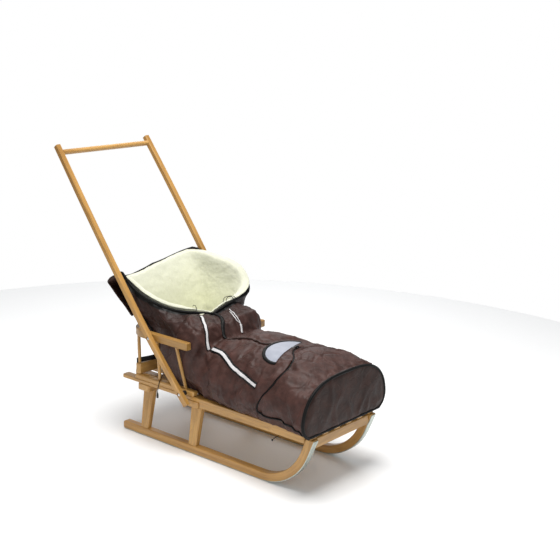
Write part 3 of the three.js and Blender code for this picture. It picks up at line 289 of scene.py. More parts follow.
# A metal or plastic with faint scuffs.
def makeScuffGroup():
    inputs = {"Vector": "Vector", "Color": "Color", "Worn": "Color", "Polish": "Float"}
    group, source, sink = effectGroup("scuffed", inputs, surface)
    link = group.links.new
    place = source.outputs["Vector"]
    cloudy = noiseNode(group, place, Scale=70.0, Detail=4.0, Roughness=0.6)
    scratch = noiseNode(group, stretched(group, place, scuffStretch), Scale=1.0, Detail=3.0, Roughness=0.7)
    worn = rangeNode(group, cloudy, 0.42, 0.66)
    link(colorMix(group, worn, source.outputs["Color"], source.outputs["Worn"]), sink.inputs["Color"])
    link(scaled(group, scratch, 0.3, source.outputs["Polish"]), sink.inputs["Roughness"])
    link(scratch, sink.inputs["Height"])
    return group


# Distance along a piece bent once, and distance across it. Before is how far a place lies past the bend's
# start and Out how far it lies out from the bend's centre line.
def makeBendGroup():
    inputs = {"Before": "Float", "Out": "Float", "Radius": "Float"}
    group, source, sink = effectGroup("alongBend", inputs, {"Along": "Float", "Across": "Float"})
    link = group.links.new
    ahead, outward, radius = (source.outputs[label] for label in inputs)
    past = mathNode(group, "MAXIMUM", ahead, 0.0)
    out = mathNode(group, "MAXIMUM", outward, 0.0)
    turned = mathNode(group, "MULTIPLY", mathNode(group, "ARCTAN2", past, out), radius)
    straight = mathNode(group, "MINIMUM", ahead, 0.0)
    beyond = mathNode(group, "MAXIMUM", mathNode(group, "MULTIPLY", outward, -1.0), 0.0)
    link(mathNode(group, "ADD", mathNode(group, "ADD", straight, turned), beyond), sink.inputs["Along"])
    square = scaled(group, past, past, mathNode(group, "MULTIPLY", out, out))
    link(mathNode(group, "SQRT", square), sink.inputs["Across"])
    return group


grainGroup = makeGrainGroup()
scuffGroup = makeScuffGroup()
bendGroup = makeBendGroup()
weaveGroup = makeWeaveGroup()
pileGroup = makePileGroup()

# Turns that lay the grain along each kind of piece; the handle bars lean.
alongX = (0, 0, 0)
alongY = (0, 0, -math.pi / 2)
alongZ = (0, math.pi / 2, 0)
alongBar = (0, -math.atan2(827, 629), 0)
pileRoughness = 0.9


# A Principled material fed by one effect group in object coordinates. values are the group's inputs, and
# finish sets more inputs of the shader.
def groupMaterial(name, group, values, bumpStrength, bumpDepth, turn=alongX, **finish):
    material = bpy.data.materials.new(name)
    material.use_nodes = True
    tree = material.node_tree
    link = tree.links.new
    shader = tree.nodes["Principled BSDF"]
    turned = node(tree, "ShaderNodeMapping")
    turned.inputs["Rotation"].default_value = turn
    link(node(tree, "ShaderNodeTexCoord").outputs["Object"], turned.inputs["Vector"])
    effect = tree.nodes.new("ShaderNodeGroup")
    effect.node_tree = group
    link(turned.outputs[0], effect.inputs["Vector"])
    for key, value in values.items():
        effect.inputs[key].default_value = value
    link(effect.outputs["Color"], shader.inputs["Base Color"])
    if "Roughness" in effect.outputs.keys():
        link(effect.outputs["Roughness"], shader.inputs["Roughness"])
    else:
        shader.inputs["Roughness"].default_value = pileRoughness
    bump = node(tree, "ShaderNodeBump", Strength=bumpStrength, Distance=bumpDepth)
    link(effect.outputs["Height"], bump.inputs["Height"])
    link(bump.outputs["Normal"], shader.inputs["Normal"])
    for key, value in finish.items():
        shader.inputs[key.replace("_", " ")].default_value = value
    return material


# Light and dark colours of the straight wood, the bent runners, the arm rail and the handle bars.
beech = {"Light": (0.56, 0.32, 0.095, 1), "Dark": (0.36, 0.185, 0.045, 1)}
bent = {"Light": (0.54, 0.3, 0.085, 1), "Dark": (0.34, 0.17, 0.04, 1)}
rail = {"Light": (0.43, 0.24, 0.064, 1), "Dark": (0.28, 0.14, 0.031, 1)}
bar = {"Light": (0.52, 0.285, 0.075, 1), "Dark": (0.33, 0.165, 0.036, 1)}
varnish = {"Coat_Weight": 0.22, "Coat_Roughness": 0.2}
fleck = 0.35
# Where each bend starts, in design millimetres, its centre line and its radius.
runnerBend = {"start": 660, "centre": 208.9, "radius": 206}
armBend = {"start": 138, "centre": 113, "radius": 80}


def woodMaterial(name, colors, turn):
    return groupMaterial(name, grainGroup, {**colors, "Fleck": fleck}, 0.12, 0.0006, turn, **varnish)


woodX = woodMaterial("beechAlong", beech, alongX)
woodY = woodMaterial("beechAcross", beech, alongY)
woodZ = woodMaterial("beechUpright", beech, alongZ)
woodBar = woodMaterial("beechBar", bar, alongBar)


# Beech whose grain follows one bend. ends gives, from the place's x, y and z, the two distances to the bend
# and the coordinate across the bend's plane.
def bentWood(name, colors, bend, ends):
    material = woodMaterial(name, colors, alongX)
    tree = material.node_tree
    place = tree.nodes.new("ShaderNodeSeparateXYZ")
    tree.links.new(node(tree, "ShaderNodeTexCoord").outputs["Object"], place.inputs[0])
    before, out, side = ends(tree, *place.outputs)
    along = tree.nodes.new("ShaderNodeGroup")
    along.node_tree = bendGroup
    along.inputs["Radius"].default_value = bend["radius"] / 1000
    tree.links.new(before, along.inputs["Before"])
    tree.links.new(out, along.inputs["Out"])
    joined = tree.nodes.new("ShaderNodeCombineXYZ")
    tree.links.new(along.outputs["Along"], joined.inputs[0])
    tree.links.new(side, joined.inputs[1])
    tree.links.new(along.outputs["Across"], joined.inputs[2])
    turned = next(n for n in tree.nodes if n.type == "MAPPING")
    tree.links.new(joined.outputs[0], turned.inputs["Vector"])
    return material


def runnerEnds(tree, x, y, z):
    start = rearX + runnerBend["start"] / 1000
    out = mathNode(tree, "SUBTRACT", runnerBend["centre"] / 1000, z)
    return mathNode(tree, "SUBTRACT", x, start), out, y


def armEnds(tree, x, y, z):
    start = rearX + armBend["start"] / 1000
    out = mathNode(tree, "SUBTRACT", mathNode(tree, "ABSOLUTE", y), armBend["centre"] / 1000)
    return mathNode(tree, "SUBTRACT", start, x), out, z


woodRunner = bentWood("beechRunner", bent, runnerBend, runnerEnds)
woodArm = bentWood("beechArm", rail, armBend, armEnds)

# Each cloth's plain and worn colour, threads to a metre, strength and depth of its creases, and shine.
mauve = ((0.041, 0.0178, 0.014), (0.086, 0.038, 0.031), 1500.0, 0.45, 0.0035, 0.25)
cloths = {
    "mauveCloth": mauve,
    # The same cloth beside the mouth's edge, which gets painted shade there.
    "rimShadedCloth": mauve,
    "darkCloth": ((0.024, 0.0115, 0.009), (0.06, 0.03, 0.024), 1500.0, 0.45, 0.004, 0.2),
    "blackWebbing": ((0.004, 0.004, 0.004), (0.009, 0.009, 0.009), 900.0, 0.5, 0.001, 0.15),
    "blackCord": ((0.005, 0.005, 0.005), (0.012, 0.012, 0.012), 1400.0, 0.5, 0.0006, 0.2),
    "reflectiveTape": ((0.66, 0.65, 0.66), (0.5, 0.49, 0.5), 900.0, 0.3, 0.0006, 0.5),
    "barePatch": ((0.27, 0.29, 0.35), (0.36, 0.38, 0.44), 1100.0, 0.3, 0.001, 0.5),
}


def clothMaterial(name):
    color, worn, threads, strength, depth, shine = cloths[name]
    values = {"Color": (*color, 1), "Worn": (*worn, 1), "Threads": threads}
    return groupMaterial(name, weaveGroup, values, strength, depth, Specular_IOR_Level=shine)


cloth, rimShadedCloth, darkCloth, webbing, cordBlack, tapeWhite, patchGrey = map(clothMaterial, cloths)
fleece = groupMaterial("creamFleece", pileGroup, {}, 0.45, 0.003, Sheen_Weight=0.3, Sheen_Roughness=0.6)

# Bands of painted shade beside the mouth's edge: where each starts and ends, in tenths of a metre, and its
# tint at the edge.
rimShadeBands = [(0.1, 1.5, (0.45, 0.45, 0.45, 1)), (0.13, 0.15, (0.09, 0.2, 0.24, 1))]
noTint = (1, 1, 1, 1)


# Painted shadow beside the mouth's edge: a near-black band right below the edge, then painted shade on the
# gathered cloth that lightens away from it. The attribute read here is the distance from the edge.
def paintRimShade():
    tree = rimShadedCloth.node_tree
    distance = node(tree, "ShaderNodeAttribute", attribute_name="rimDistance").outputs["Fac"]
    color = next(n for n in tree.nodes if n.type == "GROUP").outputs["Color"]
    for near, far, edge in rimShadeBands:
        tint = colorMix(tree, rangeNode(tree, distance, near, far), edge, noTint)
        color = colorMix(tree, 1.0, color, tint, "MULTIPLY")
    tree.links.new(color, tree.nodes["Principled BSDF"].inputs["Base Color"])


# Colours of the fleece deep in the mouth and on its edge: on the clumps, and darker as painted shade in the
# hollows between them.
fleeceColors = {
    "Color": ((0.59, 0.6, 0.415, 1), (0.7, 0.71, 0.585, 1)),
    "ShadedHollow": ((0.54, 0.55, 0.35, 1), (0.64, 0.65, 0.5, 1)),
}


# The fleece is paler where it rolls over the mouth's edge, by the attribute that the lining carries.
def palerFleece():
    tree = fleece.node_tree
    effect = next(n for n in tree.nodes if n.type == "GROUP")
    pale = node(tree, "ShaderNodeAttribute", attribute_name="pale").outputs["Fac"]
    for label, (deep, light) in fleeceColors.items():
        tree.links.new(colorMix(tree, pale, deep, light), effect.inputs[label])


paintRimShade()
palerFleece()


# Plain and worn colour of each metal and plastic, its roughness where polished, and how metallic it is.
scuffs = {
    "shoeSteel": ((0.42, 0.47, 0.43), (0.55, 0.6, 0.55), 0.18, 0.9),
    "zinc": ((0.5, 0.51, 0.52), (0.66, 0.67, 0.68), 0.18, 0.95),
    "blackMetal": ((0.02, 0.02, 0.022), (0.05, 0.05, 0.055), 0.2, 0.6),
    "blackPlastic": ((0.014, 0.014, 0.015), (0.026, 0.026, 0.027), 0.25, 0.0),
}


def scuffedMaterial(name):
    color, worn, polish, metallic = scuffs[name]
    values = {"Color": (*color, 1), "Worn": (*worn, 1), "Polish": polish}
    return groupMaterial(name, scuffGroup, values, 0.15, 0.0003, Metallic=metallic)


steel, zinc, blackMetal, blackPlastic = map(scuffedMaterial, scuffs)


# Gives the solids that stay their material, on both sides of the sledge.
def paint(material, *names):
    for name in names:
        for hand in ("", "_right", "_left"):
            found = nodes.get(name + hand)
            if found:
                found.data.materials.clear()
                found.data.materials.append(material)


scene.view_settings.view_transform = "Standard"
placeCamera()
placeLights()
makeWorld()
makeFloor()
paint(woodX, "under_rail", "side_rail", *[f"slat_{k}" for k in range(1, 7)])
paint(woodY, "rear_crossbar", "middle_crossbar", "front_crossbar", "back_board", "handle_dowel")
paint(woodArm, "arm_rail")
paint(woodZ, "rear_leg", "middle_leg", "rear_spindle", "middle_spindle", "front_spindle")
paint(woodBar, "handle_bar")
paint(woodRunner, "runner")
paint(steel, "shoe")
paint(zinc, "lower_bolt", "upper_bolt", "flange_nut", "wing_nut")
paint(blackPlastic, "handle_spacer", "cord_end")
paint(blackMetal, "zip_slider", "zip_puller")
print("stage and materials ready")


# Mesh helpers

def newMesh(name, points, faces, materials):
    mesh = bpy.data.meshes.new(name)
    mesh.from_pydata([tuple(p) for p in points], [], faces)
    made = bpy.data.objects.new(name, mesh)
    scene.collection.objects.link(made)
    for material in materials:
        mesh.materials.append(material)
    mesh.polygons.foreach_set("use_smooth", [True] * len(mesh.polygons))
    mesh.update()
    return made


# Every new piece rides the sledge. It may stand for these solids; fill, how full a pad is, is not used.
def rideAs(made, slot, *solids, fill=None):
    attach(made, "root")
    if solids:
        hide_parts(*solids)
    return made


# Points of a sheet, row by row. place takes the shares of the rows and of the columns.
def sheetPoints(rows, columns, place):
    return [place(i / rows, j / columns) for i in range(rows + 1) for j in range(columns + 1)]


def gridFaces(rows, columns, start=0, flip=False):
    faces = []
    for i in range(rows):
        for j in range(columns):
            a = start + i * (columns + 1) + j
            face = (a, a + 1, a + columns + 2, a + columns + 1)
            faces.append(face[::-1] if flip else face)
    return faces


# 1 in the middle of a pad and 0 at its edges.
def plump(u, v):
    return (1 - abs(2 * u - 1) ** 4) * (1 - abs(2 * v - 1) ** 4)


# Rounds a grid of points along its rows, which keep their first and last place.
def rounded(grid, turns):
    for turn in range(turns):
        grid[1:-1] = grid[1:-1] * 0.5 + (grid[:-2] + grid[2:]) * 0.25


# Point of a centripetal Catmull-Rom line through points, a share of the way along.
def spline(points, share):
    last = len(points) - 1
    place = share * last
    k = min(int(place), last - 1)
    w = place - k
    p1, p2 = points[k], points[k + 1]
    p0 = points[k - 1] if k > 0 else 2 * points[0] - points[1]
    p3 = points[k + 2] if k + 2 <= last else 2 * points[last] - points[last - 1]
    d0, d1, d2 = (max(np.linalg.norm(b - a) ** 0.5, 0.0) for a, b in ((p0, p1), (p1, p2), (p2, p3)))
    d1 = d1 if d1 > 1e-4 else 1.0
    d0 = d0 if d0 > 1e-4 else d1
    d2 = d2 if d2 > 1e-4 else d1
    t1 = ((p1 - p0) / d0 - (p2 - p0) / (d0 + d1) + (p2 - p1) / d1) * d1
    t2 = ((p2 - p1) / d1 - (p3 - p1) / (d1 + d2) + (p3 - p2) / d2) * d1
    return p1 + t1 * w + (-3 * p1 + 3 * p2 - 2 * t1 - t2) * w ** 2 + (2 * p1 - 2 * p2 + t1 + t2) * w ** 3


# A round cord or piping along points in the row frame.
def tube(name, points, radius, material, closed=False):
    data = bpy.data.curves.new(name, "CURVE")
    data.dimensions = "3D"
    data.bevel_depth = radius
    data.bevel_resolution = 3
    data.use_fill_caps = not closed
    line = data.splines.new("POLY")
    line.points.add(len(points) - 1)
    for target, p in zip(line.points, points):
        target.co = (*p, 1)
    line.use_cyclic_u = closed
    line.use_smooth = True
    data.materials.append(material)
    made = bpy.data.objects.new(name, data)
    scene.collection.objects.link(made)
    return made


# Distance along a line from its first point to each of its points.
def runLengths(line):
    return np.concatenate([[0], np.cumsum([np.linalg.norm(b - a) for a, b in zip(line, line[1:])])])


# Points along the smooth line through points, about step apart.
def resample(points, step):
    rough = [np.array(p, float) for p in points]
    fine = 12 * (len(rough) - 1)
    dense = [spline(rough, k / fine) for k in range(fine + 1)]
    lengths = runLengths(dense)
    count = max(int(round(lengths[-1] / step)), 2)
    wanted = np.linspace(0, lengths[-1], count + 1)
    grid = np.array(dense)
    return [np.array([np.interp(w, lengths, grid[:, k]) for k in range(3)]) for w in wanted]


# Cords: routes in design millimetres, the other sizes in metres

drawcord = {
    "route": [
        (207, -148.2, 309), (206.5, -149.8, 306), (205.5, -152.5, 300), (204.5, -155.5, 291),
        (203, -158.8, 280), (201, -162.2, 268), (199, -165.7, 256), (197, -169, 245.5), (195, -172.4, 237),
        (193, -175.2, 230.5), (191, -176.3, 223.5), (189, -176.5, 216), (187.2, -176.6, 208.5),
        (185.6, -176.8, 201), (184.4, -177, 194), (183.6, -177.1, 188),
    ],
    "diameter": 0.0025,
}
tieTail = {
    "route": [
        (745, -103, 193.1), (744.7, -109, 192.8), (744, -115.5, 191), (743, -121.5, 187.2),
        (741.7, -127.5, 182.4), (740.2, -133.5, 178.2), (738.3, -139.5, 175.4), (736, -145.5, 174.3),
        (733.3, -151.5, 174.2), (730.2, -157.5, 173.8), (727, -163, 172.4), (723.6, -168, 169.6),
        (720.2, -172.2, 166.2), (716.8, -175.8, 162.3), (713.6, -178.8, 158),
    ],
    "diameter": 0.002,
    "corner": 0.003,
    "knot": (0.0032, 0.00272, 0.00368),
}


# Points for a cord along a line given in design millimetres.
def smoothPoints(line):
    return [Vector(p) for p in resample([at(*p) for p in line], 0.003)]


def makeKnot(place):
    bpy.ops.object.select_all(action="DESELECT")
    bpy.ops.mesh.primitive_ico_sphere_add(subdivisions=3, radius=1, location=place)
    knot = bpy.context.object
    knot.name = "tieKnot"
    knot.scale = tieTail["knot"]
    bpy.ops.object.transform_apply(location=True, rotation=True, scale=True)
    bpy.ops.object.shade_smooth()
    knot.data.materials.append(cordBlack)
    return rideAs(knot, "black_cord")


# A closed loop in the box of the solid loop, with round corners.
def makeTieLoop():
    half, corner = tieTail["diameter"] / 2, tieTail["corner"]
    low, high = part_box("tie_loop")
    ring = []
    corners = [(low.y, low.z, 1, 1), (high.y, low.z, -1, 1),
               (high.y, high.z, -1, -1), (low.y, high.z, 1, -1)]
    for k, (y, z, inY, inZ) in enumerate(corners):
        for step in range(5):
            angle = math.pi / 2 * (k + step / 4) + math.pi
            ring.append(Vector(((low.x + high.x) / 2, y + inY * (half + corner) + corner * math.cos(angle),
                                z + inZ * (half + corner) + corner * math.sin(angle))))
    return rideAs(tube("tieLoop", ring, half, cordBlack, closed=True), "black_cord", "tie_loop")


def makeCord(name, solid, cord, pieces):
    points = smoothPoints(cord["route"])
    made = rideAs(tube(name, points, cord["diameter"] / 2, cordBlack), "black_cord", solid)
    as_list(pieces(points[-1]))


makeCord("drawcordTail", "drawcord", drawcord, lambda end: ["cord_end"])
makeCord("tieTail", "tie_tail", tieTail, lambda end: [makeKnot(end), makeTieLoop()])
print("cords ready")


# Footmuff: the same sections as in the solid part, followed more finely. Sizes are in design millimetres.

# The cover's section is a table of width and height shares; stations give half width and height along it.
muff = {
    "rear": 283, "zipX": 664, "zipWidth": 8, "front": 868, "bottom": 210.4, "seat": 210, "thickness": 12,
    "arch": [(0.86, 0), (0.955, 0.1), (1, 0.25), (0.985, 0.42), (0.93, 0.6), (0.82, 0.77), (0.64, 0.905),
             (0.4, 0.975), (0.17, 0.997)],
    "collar": [(0.79, 0), (0.86, 0.1), (0.95, 0.25), (0.985, 0.45), (1, 0.68), (0.995, 0.86), (0.88, 1),
               (0.6, 1.05), (0.3, 1.03)],
    "stations": [(0, 167, 246), (0.12, 172, 234.5), (0.19, 172, 200), (0.42, 190, 207), (0.75, 206, 207),
                 (1, 222, 176)],
}

# The mouth's side panels: three ribs a side between the back and the cover, each from the hem up, as shares
# of length, half width and height.
mouth = {
    "length": 280, "half": 160, "height": 420,
    -1: [
        [(0.85, 0.81, 0.012), (0.715, 0.9, 0.21), (0.57, 0.955, 0.41), (0.43, 1.075, 0.61),
         (0.22, 1.15, 0.812)],
        [(0.907, 0.82, 0.012), (0.8, 0.92, 0.21), (0.69, 0.99, 0.4), (0.58, 1.08, 0.58), (0.46, 1.12, 0.735)],
        [(0.96, 0.83, 0.012), (0.915, 0.95, 0.21), (0.88, 1.01, 0.385), (0.82, 0.97, 0.54),
         (0.725, 0.74, 0.638)],
    ],
    1: [
        [(0.85, 0.81, 0.012), (0.715, 0.9, 0.21), (0.575, 0.96, 0.42), (0.5, 1.26, 0.68), (0.42, 1.31, 0.92)],
        [(0.907, 0.82, 0.012), (0.8, 0.92, 0.21), (0.7, 0.99, 0.41), (0.72, 1.3, 0.64), (0.76, 1.4, 0.86)],
        [(0.96, 0.83, 0.012), (0.92, 0.95, 0.21), (0.9, 1.01, 0.4), (0.91, 1.17, 0.56), (0.94, 1.3, 0.73)],
    ],
}

# The back pad leans by recline; its half widths are those at the seat, at the neck and at the top.
back = {"rearX": 71, "recline": 0.6, "top": 583, "armTop": 409, "thickness": 24, "curl": 40,
        "foot": 134, "waist": 152, "head": 196, "neck": 412, "nearDrop": 20, "topBow": 24, "topTilt": 12}


def coverSize(x):
    share = (x - muff["rear"]) / (muff["front"] - muff["rear"])
    stations = muff["stations"]
    k = 0
    while k + 2 < len(stations) and share > stations[k + 1][0]:
        k += 1
    (s0, w0, h0), (s1, w1, h1) = stations[k], stations[k + 1]
    u = (share - s0) / (s1 - s0)
    smooth = u * u * (3 - 2 * u)
    return mix(w0, w1, smooth), mix(h0, h1, smooth)


# Half of the cover's section at x, from the hem to the middle of the top, on the left.
def archPoints(x, inset=0.0):
    half, height = coverSize(x)
    share = (x - muff["rear"]) / (muff["front"] - muff["rear"])
    part = clamp((0.19 - share) / 0.07)
    table = [(mix(a[0], c[0], part), mix(a[1], c[1], part)) for a, c in zip(muff["arch"], muff["collar"])]
    table.append((0, 1))
    return [np.array((x, y * (half - inset), muff["bottom"] + z * (height - inset))) for y, z in table]


# Point of that section, a share of the way from the hem to the middle.
def archAt(x, share, inset=0.0):
    points = archPoints(x, inset)
    beyond = points[-2] * np.array((1, -1, 1))
    return spline(points + [beyond], share * (len(points) - 1) / len(points))


def backFaceX(z):
    return back["rearX"] + (back["armTop"] - z) * back["recline"]


def backHalf(z):
    if z <= back["neck"]:
        return mix(back["foot"], back["waist"], (z - muff["seat"]) / (back["neck"] - muff["seat"]))
    u = min((z - back["neck"]) / (back["head"] - back["waist"]), 1)
    return mix(back["waist"], back["head"], math.sin(u * math.pi / 2))


def backCurl(y, z):
    rise = (z - muff["seat"]) / (back["top"] - muff["seat"])
    return mix(0.4, 1, rise) * back["curl"] * (y / backHalf(z)) ** 4


# Height of the back's top edge. It dips beside the right corner, where the fleece stands above it.
def backTop(across):
    dip = back["nearDrop"] * clamp(-across * 1.6) * (1 - clamp((-across - 0.82) / 0.18) ** 2)
    return back["top"] + back["topBow"] * across * across + back["topTilt"] * across - dip


def cornerTop(side):
    return back["top"] + back["topBow"] + back["topTilt"] * side


# Place on the cover's section for a row of the mouth's side panels.
def archShare(t):
    return float(np.interp(t, (0, 0.25, 0.5, 0.75, 1), (0, 2 / 9, 5 / 9, 7 / 9, 1)))


# That share, and the side, for a share of the way over the cover from the right hem to the left.
def overCover(u):
    return archShare(1 - abs(1 - 2 * u)), 1 if u > 0.5 else -1


def coverPoint(x, u, inset=0.0):
    share, side = overCover(u)
    x, y, z = archAt(x, share, inset)
    return at(x, side * y, z)


# How far the seam of the foot zip bends forward over the shoulder, point by point from the hem to the top.
zipBend = [0, 0, 0, 14, 42, 60, 70, 52, 10, 0]


def zipSeamX(share):
    return muff["zipX"] + spline([np.array((bend, 0.0, 0.0)) for bend in zipBend], share)[0]


# Half width of the gap that the zip tape fills; it closes below the tape's turn at the hem.
def zipHalf(share):
    return muff["zipWidth"] / 2 * clamp((share - 0.12) / 0.1)


# The ribs of one side panel. The first is the back pad's curled edge.
def wingRibs(side):
    low = muff["seat"] + 0.012 * mouth["height"]
    high = cornerTop(side) - 0.4
    rear = []
    for share in (0, 0.25, 0.5, 0.75, 1):
        z = mix(low, high, share)
        half = backHalf(z)
        x = backFaceX(z) + backCurl(half, z) + back["thickness"] + 0.8
        rear.append(np.array((x, side * (half - 0.4), z)))
    panel = [[np.array((u * mouth["length"], side * v * mouth["half"], muff["seat"] + w * mouth["height"]))
              for u, v, w in rib] for rib in mouth[side]]
    return [rear, *panel]


# Outer face of one half of the upper footmuff: rows from the hem up, columns from the back forward.
def upperGrid(side, rows, coverColumns):
    ribs = wingRibs(side)
    grid = []
    for i in range(rows + 1):
        t = i / rows
        front = archAt(muff["rear"] - 0.4, archShare(t))
        front[1] = side * max(front[1], 0.0)
        knots = [spline(rib, t) for rib in ribs] + [front]
        line = [spline(knots, j / wingColumns) for j in range(wingColumns + 1)]
        share = archShare(t)
        for j in range(1, coverColumns + 1):
            x = mix(muff["rear"], zipSeamX(share) - zipHalf(share), j / coverColumns)
            point = archAt(x, share)
            point[1] *= side
            line.append(point)
        grid.append(line)
    return grid


# Noise folded into ridges: 1 along wandering lines and less beside them.
def ridged(point, scale, seed):
    value = noise.noise(Vector(point) * scale + Vector((seed, seed * 1.7, seed * 0.3)))
    return 1 - 2 * abs(value)


# Sharp creases that wander over the cloth: height in metres, scale, seed, where the ridge starts and its
# power. Two sizes stand out and one sinks in.
creases = [(0.0016, 11, 3.1, 0.8, 1.5), (0.001, 19, 8.4, 0.8, 1.5), (-0.002, 13, 5.7, 0.85, 1)]


def crease(co):
    bent = co + 0.03 * Vector((noise.noise(co * 9), noise.noise(co * 9 + Vector((7, 1, 3))), 0))
    return sum(height * clamp((ridged(bent, scale, seed) - start) / (1 - start)) ** power
               for height, scale, seed, start, power in creases)


# Moves each vertex along its normal by amount(place, index), in metres.
def displace(made, amount):
    mesh = made.data
    normals = [Vector(n.vector) for n in mesh.vertex_normals]
    moves = [n * amount(v.co, v.index) for v, n in zip(mesh.vertices, normals)]
    for vertex, move in zip(mesh.vertices, moves):
        vertex.co += move
    mesh.update()


# How the loose cloth behaves. It is cut larger by grow, blown up by pressure and moved by cap at most.
looseCloth = {
    "swell": 0.0045, "grow": 0.05, "pressure": 1.2, "cap": 0.009, "steps": 20,
    "settings": {"quality": 6, "mass": 0.12, "air_damping": 4, "tension_stiffness": 25,
                 "compression_stiffness": 25, "shear_stiffness": 12, "bending_stiffness": 1.5},
}


# Lets the cloth of a sheet, cut a little larger than its seams, buckle between the vertices held.
def simulated(made, held):
    group = made.vertex_groups.new(name="held")
    for index, weight in enumerate(held):
        if weight > 0:
            group.add([index], weight, "REPLACE")
    before = np.array([v.co for v in made.data.vertices])
    modifier = made.modifiers.new("cloth", "CLOTH")
    settings = modifier.settings
    for key, value in looseCloth["settings"].items():
        setattr(settings, key, value)
    settings.vertex_group_mass = "held"
    settings.shrink_min = -looseCloth["grow"]
    settings.use_pressure = True
    settings.uniform_pressure_force = looseCloth["pressure"]
    settings.effector_weights.gravity = 0
    modifier.collision_settings.use_collision = False
    modifier.collision_settings.use_self_collision = False
    modifier.point_cache.frame_start = 1
    modifier.point_cache.frame_end = looseCloth["steps"]
    for step in range(1, looseCloth["steps"] + 1):
        scene.frame_set(step)
    ready = made.evaluated_get(bpy.context.evaluated_depsgraph_get())
    move = np.array([v.co for v in ready.data.vertices]) - before
    made.modifiers.remove(modifier)
    scene.frame_set(1)
    size = np.linalg.norm(move, axis=1, keepdims=True)
    move *= np.minimum(size, looseCloth["cap"]) / np.maximum(size, 1e-9)
    for vertex, place in zip(made.data.vertices, before + move):
        vertex.co = place
    made.data.update()


# Swells the free cloth and lets it go. edge fades the swelling towards the seams at x.
def loosened(made, held, edge):
    def swell(co, index):
        return edge((co.x - rearX) * 1000) * looseCloth["swell"] * noise.noise(co * 8) * (1 - held[index])

    displace(made, swell)
    simulated(made, held)


def chosen(made):
    bpy.ops.object.select_all(action="DESELECT")
    made.select_set(True)
    bpy.context.view_layer.objects.active = made


# Applies all modifiers of a mesh.
def applied(made):
    chosen(made)
    for modifier in list(made.modifiers):
        bpy.ops.object.modifier_apply(modifier=modifier.name)


def subdivided(made):
    modifier = made.modifiers.new("finer", "SUBSURF")
    modifier.levels = 1
    modifier.render_levels = 1
    applied(made)


# Joins the two halves of a sheet along their shared line.
def joined(made):
    chosen(made)
    bpy.ops.object.mode_set(mode="EDIT")
    bpy.ops.mesh.select_all(action="SELECT")
    bpy.ops.mesh.remove_doubles(threshold=0.0004)
    bpy.ops.object.mode_set(mode="OBJECT")


def surfaceTree(made):
    places = [v.co.copy() for v in made.data.vertices]
    return BVHTree.FromPolygons(places, [tuple(p.vertices) for p in made.data.polygons])


# Gives a sheet a thickness on its inner side. thin names an attribute with each point's share of it.
def thicken(made, thickness, inner=0, thin=None):
    modifier = made.modifiers.new("thickness", "SOLIDIFY")
    modifier.thickness = thickness
    modifier.offset = -1
    modifier.material_offset = inner
    modifier.use_even_offset = False
    if thin:
        group = made.vertex_groups.new(name=thin)
        for index, share in enumerate(made.data.attributes[thin].data):
            group.add([index], share.value, "REPLACE")
        modifier.vertex_group = thin
    applied(made)


# Rows and columns of the upper footmuff's cloth, on each side.
rowsUp = 46
wingColumns = 34
coverColumns = 64

# Lines sewn on the cloth, found on the photograph and written on the modelled surface, in design
# millimetres.
sewn = {
    "stripUpper": [(296, -78, 470), (309, -84, 465), (345, -112, 452), (366, -126, 425), (380, -134, 400),
                   (390, -135, 380)],
    "stripLower": [(394, -124, 383), (420, -127, 381), (449, -133, 380), (490, -148, 368), (528, -164, 356),
                   (591, -178, 342), (649, -189, 329)],
    "centreZip": [(284, 4, 462), (318, 2, 452), (345, -18, 449), (366, -40, 445), (381, -51, 427),
                  (400, -60, 409)],
    "drawEnds": [
        [(301, 65, 463), (325, 55, 457), (349, 44, 451), (366, 43, 438), (377, 42, 425)],
        [(312, 52, 458), (335, 38, 454), (356, 34, 446), (370, 40, 433)],
    ],
    "drawTab": [(374, 43, 430), (384, 40, 414), (391, 36, 406)],
    "centreFold": [(400, -60, 409), (437, -41, 412), (478, -28, 413), (520, -36, 415), (545, -44, 417),
                   (572, -27, 418)],
    "hemZip": [(664, -199, 262), (672, -200.5, 250), (690, -201.5, 245), (747, -206, 242), (794, -212, 242),
               (834, -216, 237), (852, -217, 229), (864, -215, 220)],
}


# The other side's mirror image of a line.
def mirrored(line):
    return [(x, -y, z) for x, y, z in line]


# Folds pressed into the upper footmuff: a line, its half width and its depth, in millimetres. A negative
# depth is a valley.
collarFolds = [
    ([(396, -132, 380), (385, -150, 365), (364, -172, 354), (346, -173, 329), (331, -166, 288)], 10, -9),
    ([(386, -122, 390), (384, -90, 400), (388, -58, 405), (419, -52, 410), (452, -48, 410)], 8, -6),
    ([(352, -104, 448), (372, -92, 436), (378, -72, 425)], 6, -7),
    ([(300, -30, 457), (340, -62, 452), (372, -88, 420)], 7, -6),
    ([(333, 8, 452), (362, 0, 441), (384, -15, 425), (398, -20, 411)], 6, -7),
    ([(338, 36, 454), (371, 27, 437), (390, 27, 405)], 7, -7),
    ([(330, -72, 460), (352, -80, 452), (366, -74, 438)], 9, 5),
]
sideFolds = [
    ([(100, -175, 540), (125, -180, 513), (139, -175, 464)], 9, -6),
    ([(150, -170, 470), (200, -172, 440), (262, -176, 410)], 14, -7),
    ([(196, -150, 478), (240, -156, 450), (290, -166, 430), (325, -170, 405)], 13, 6),
    ([(245, -120, 466), (300, -146, 450), (349, -155, 440)], 10, -7),
    ([(371, -159, 388), (389, -159, 343), (462, -177, 308)], 12, -7),
    ([(492, -171, 338), (486, -179, 311), (482, -184, 287)], 5, 4),
    ([(612, -187, 334), (607, -191, 310), (598, -194, 287)], 5, 4),
]


def pressFolds(made, folds):
    places = np.array([v.co for v in made.data.vertices])
    amounts = np.zeros(len(places))
    for line, width, depth in folds:
        points = np.array(resample([at(*p) for p in line], 0.006))
        taper = np.sin(np.linspace(0.1, 0.9, len(points)) * math.pi)
        distance = np.linalg.norm(places[:, None, :] - points[None], axis=2)
        nearest = distance.argmin(axis=1)
        close = distance.min(axis=1) / (width / 1000)
        amounts += depth / 1000 * taper[nearest] * np.exp(-close ** 1.5)
    displace(made, lambda co, index: amounts[index])


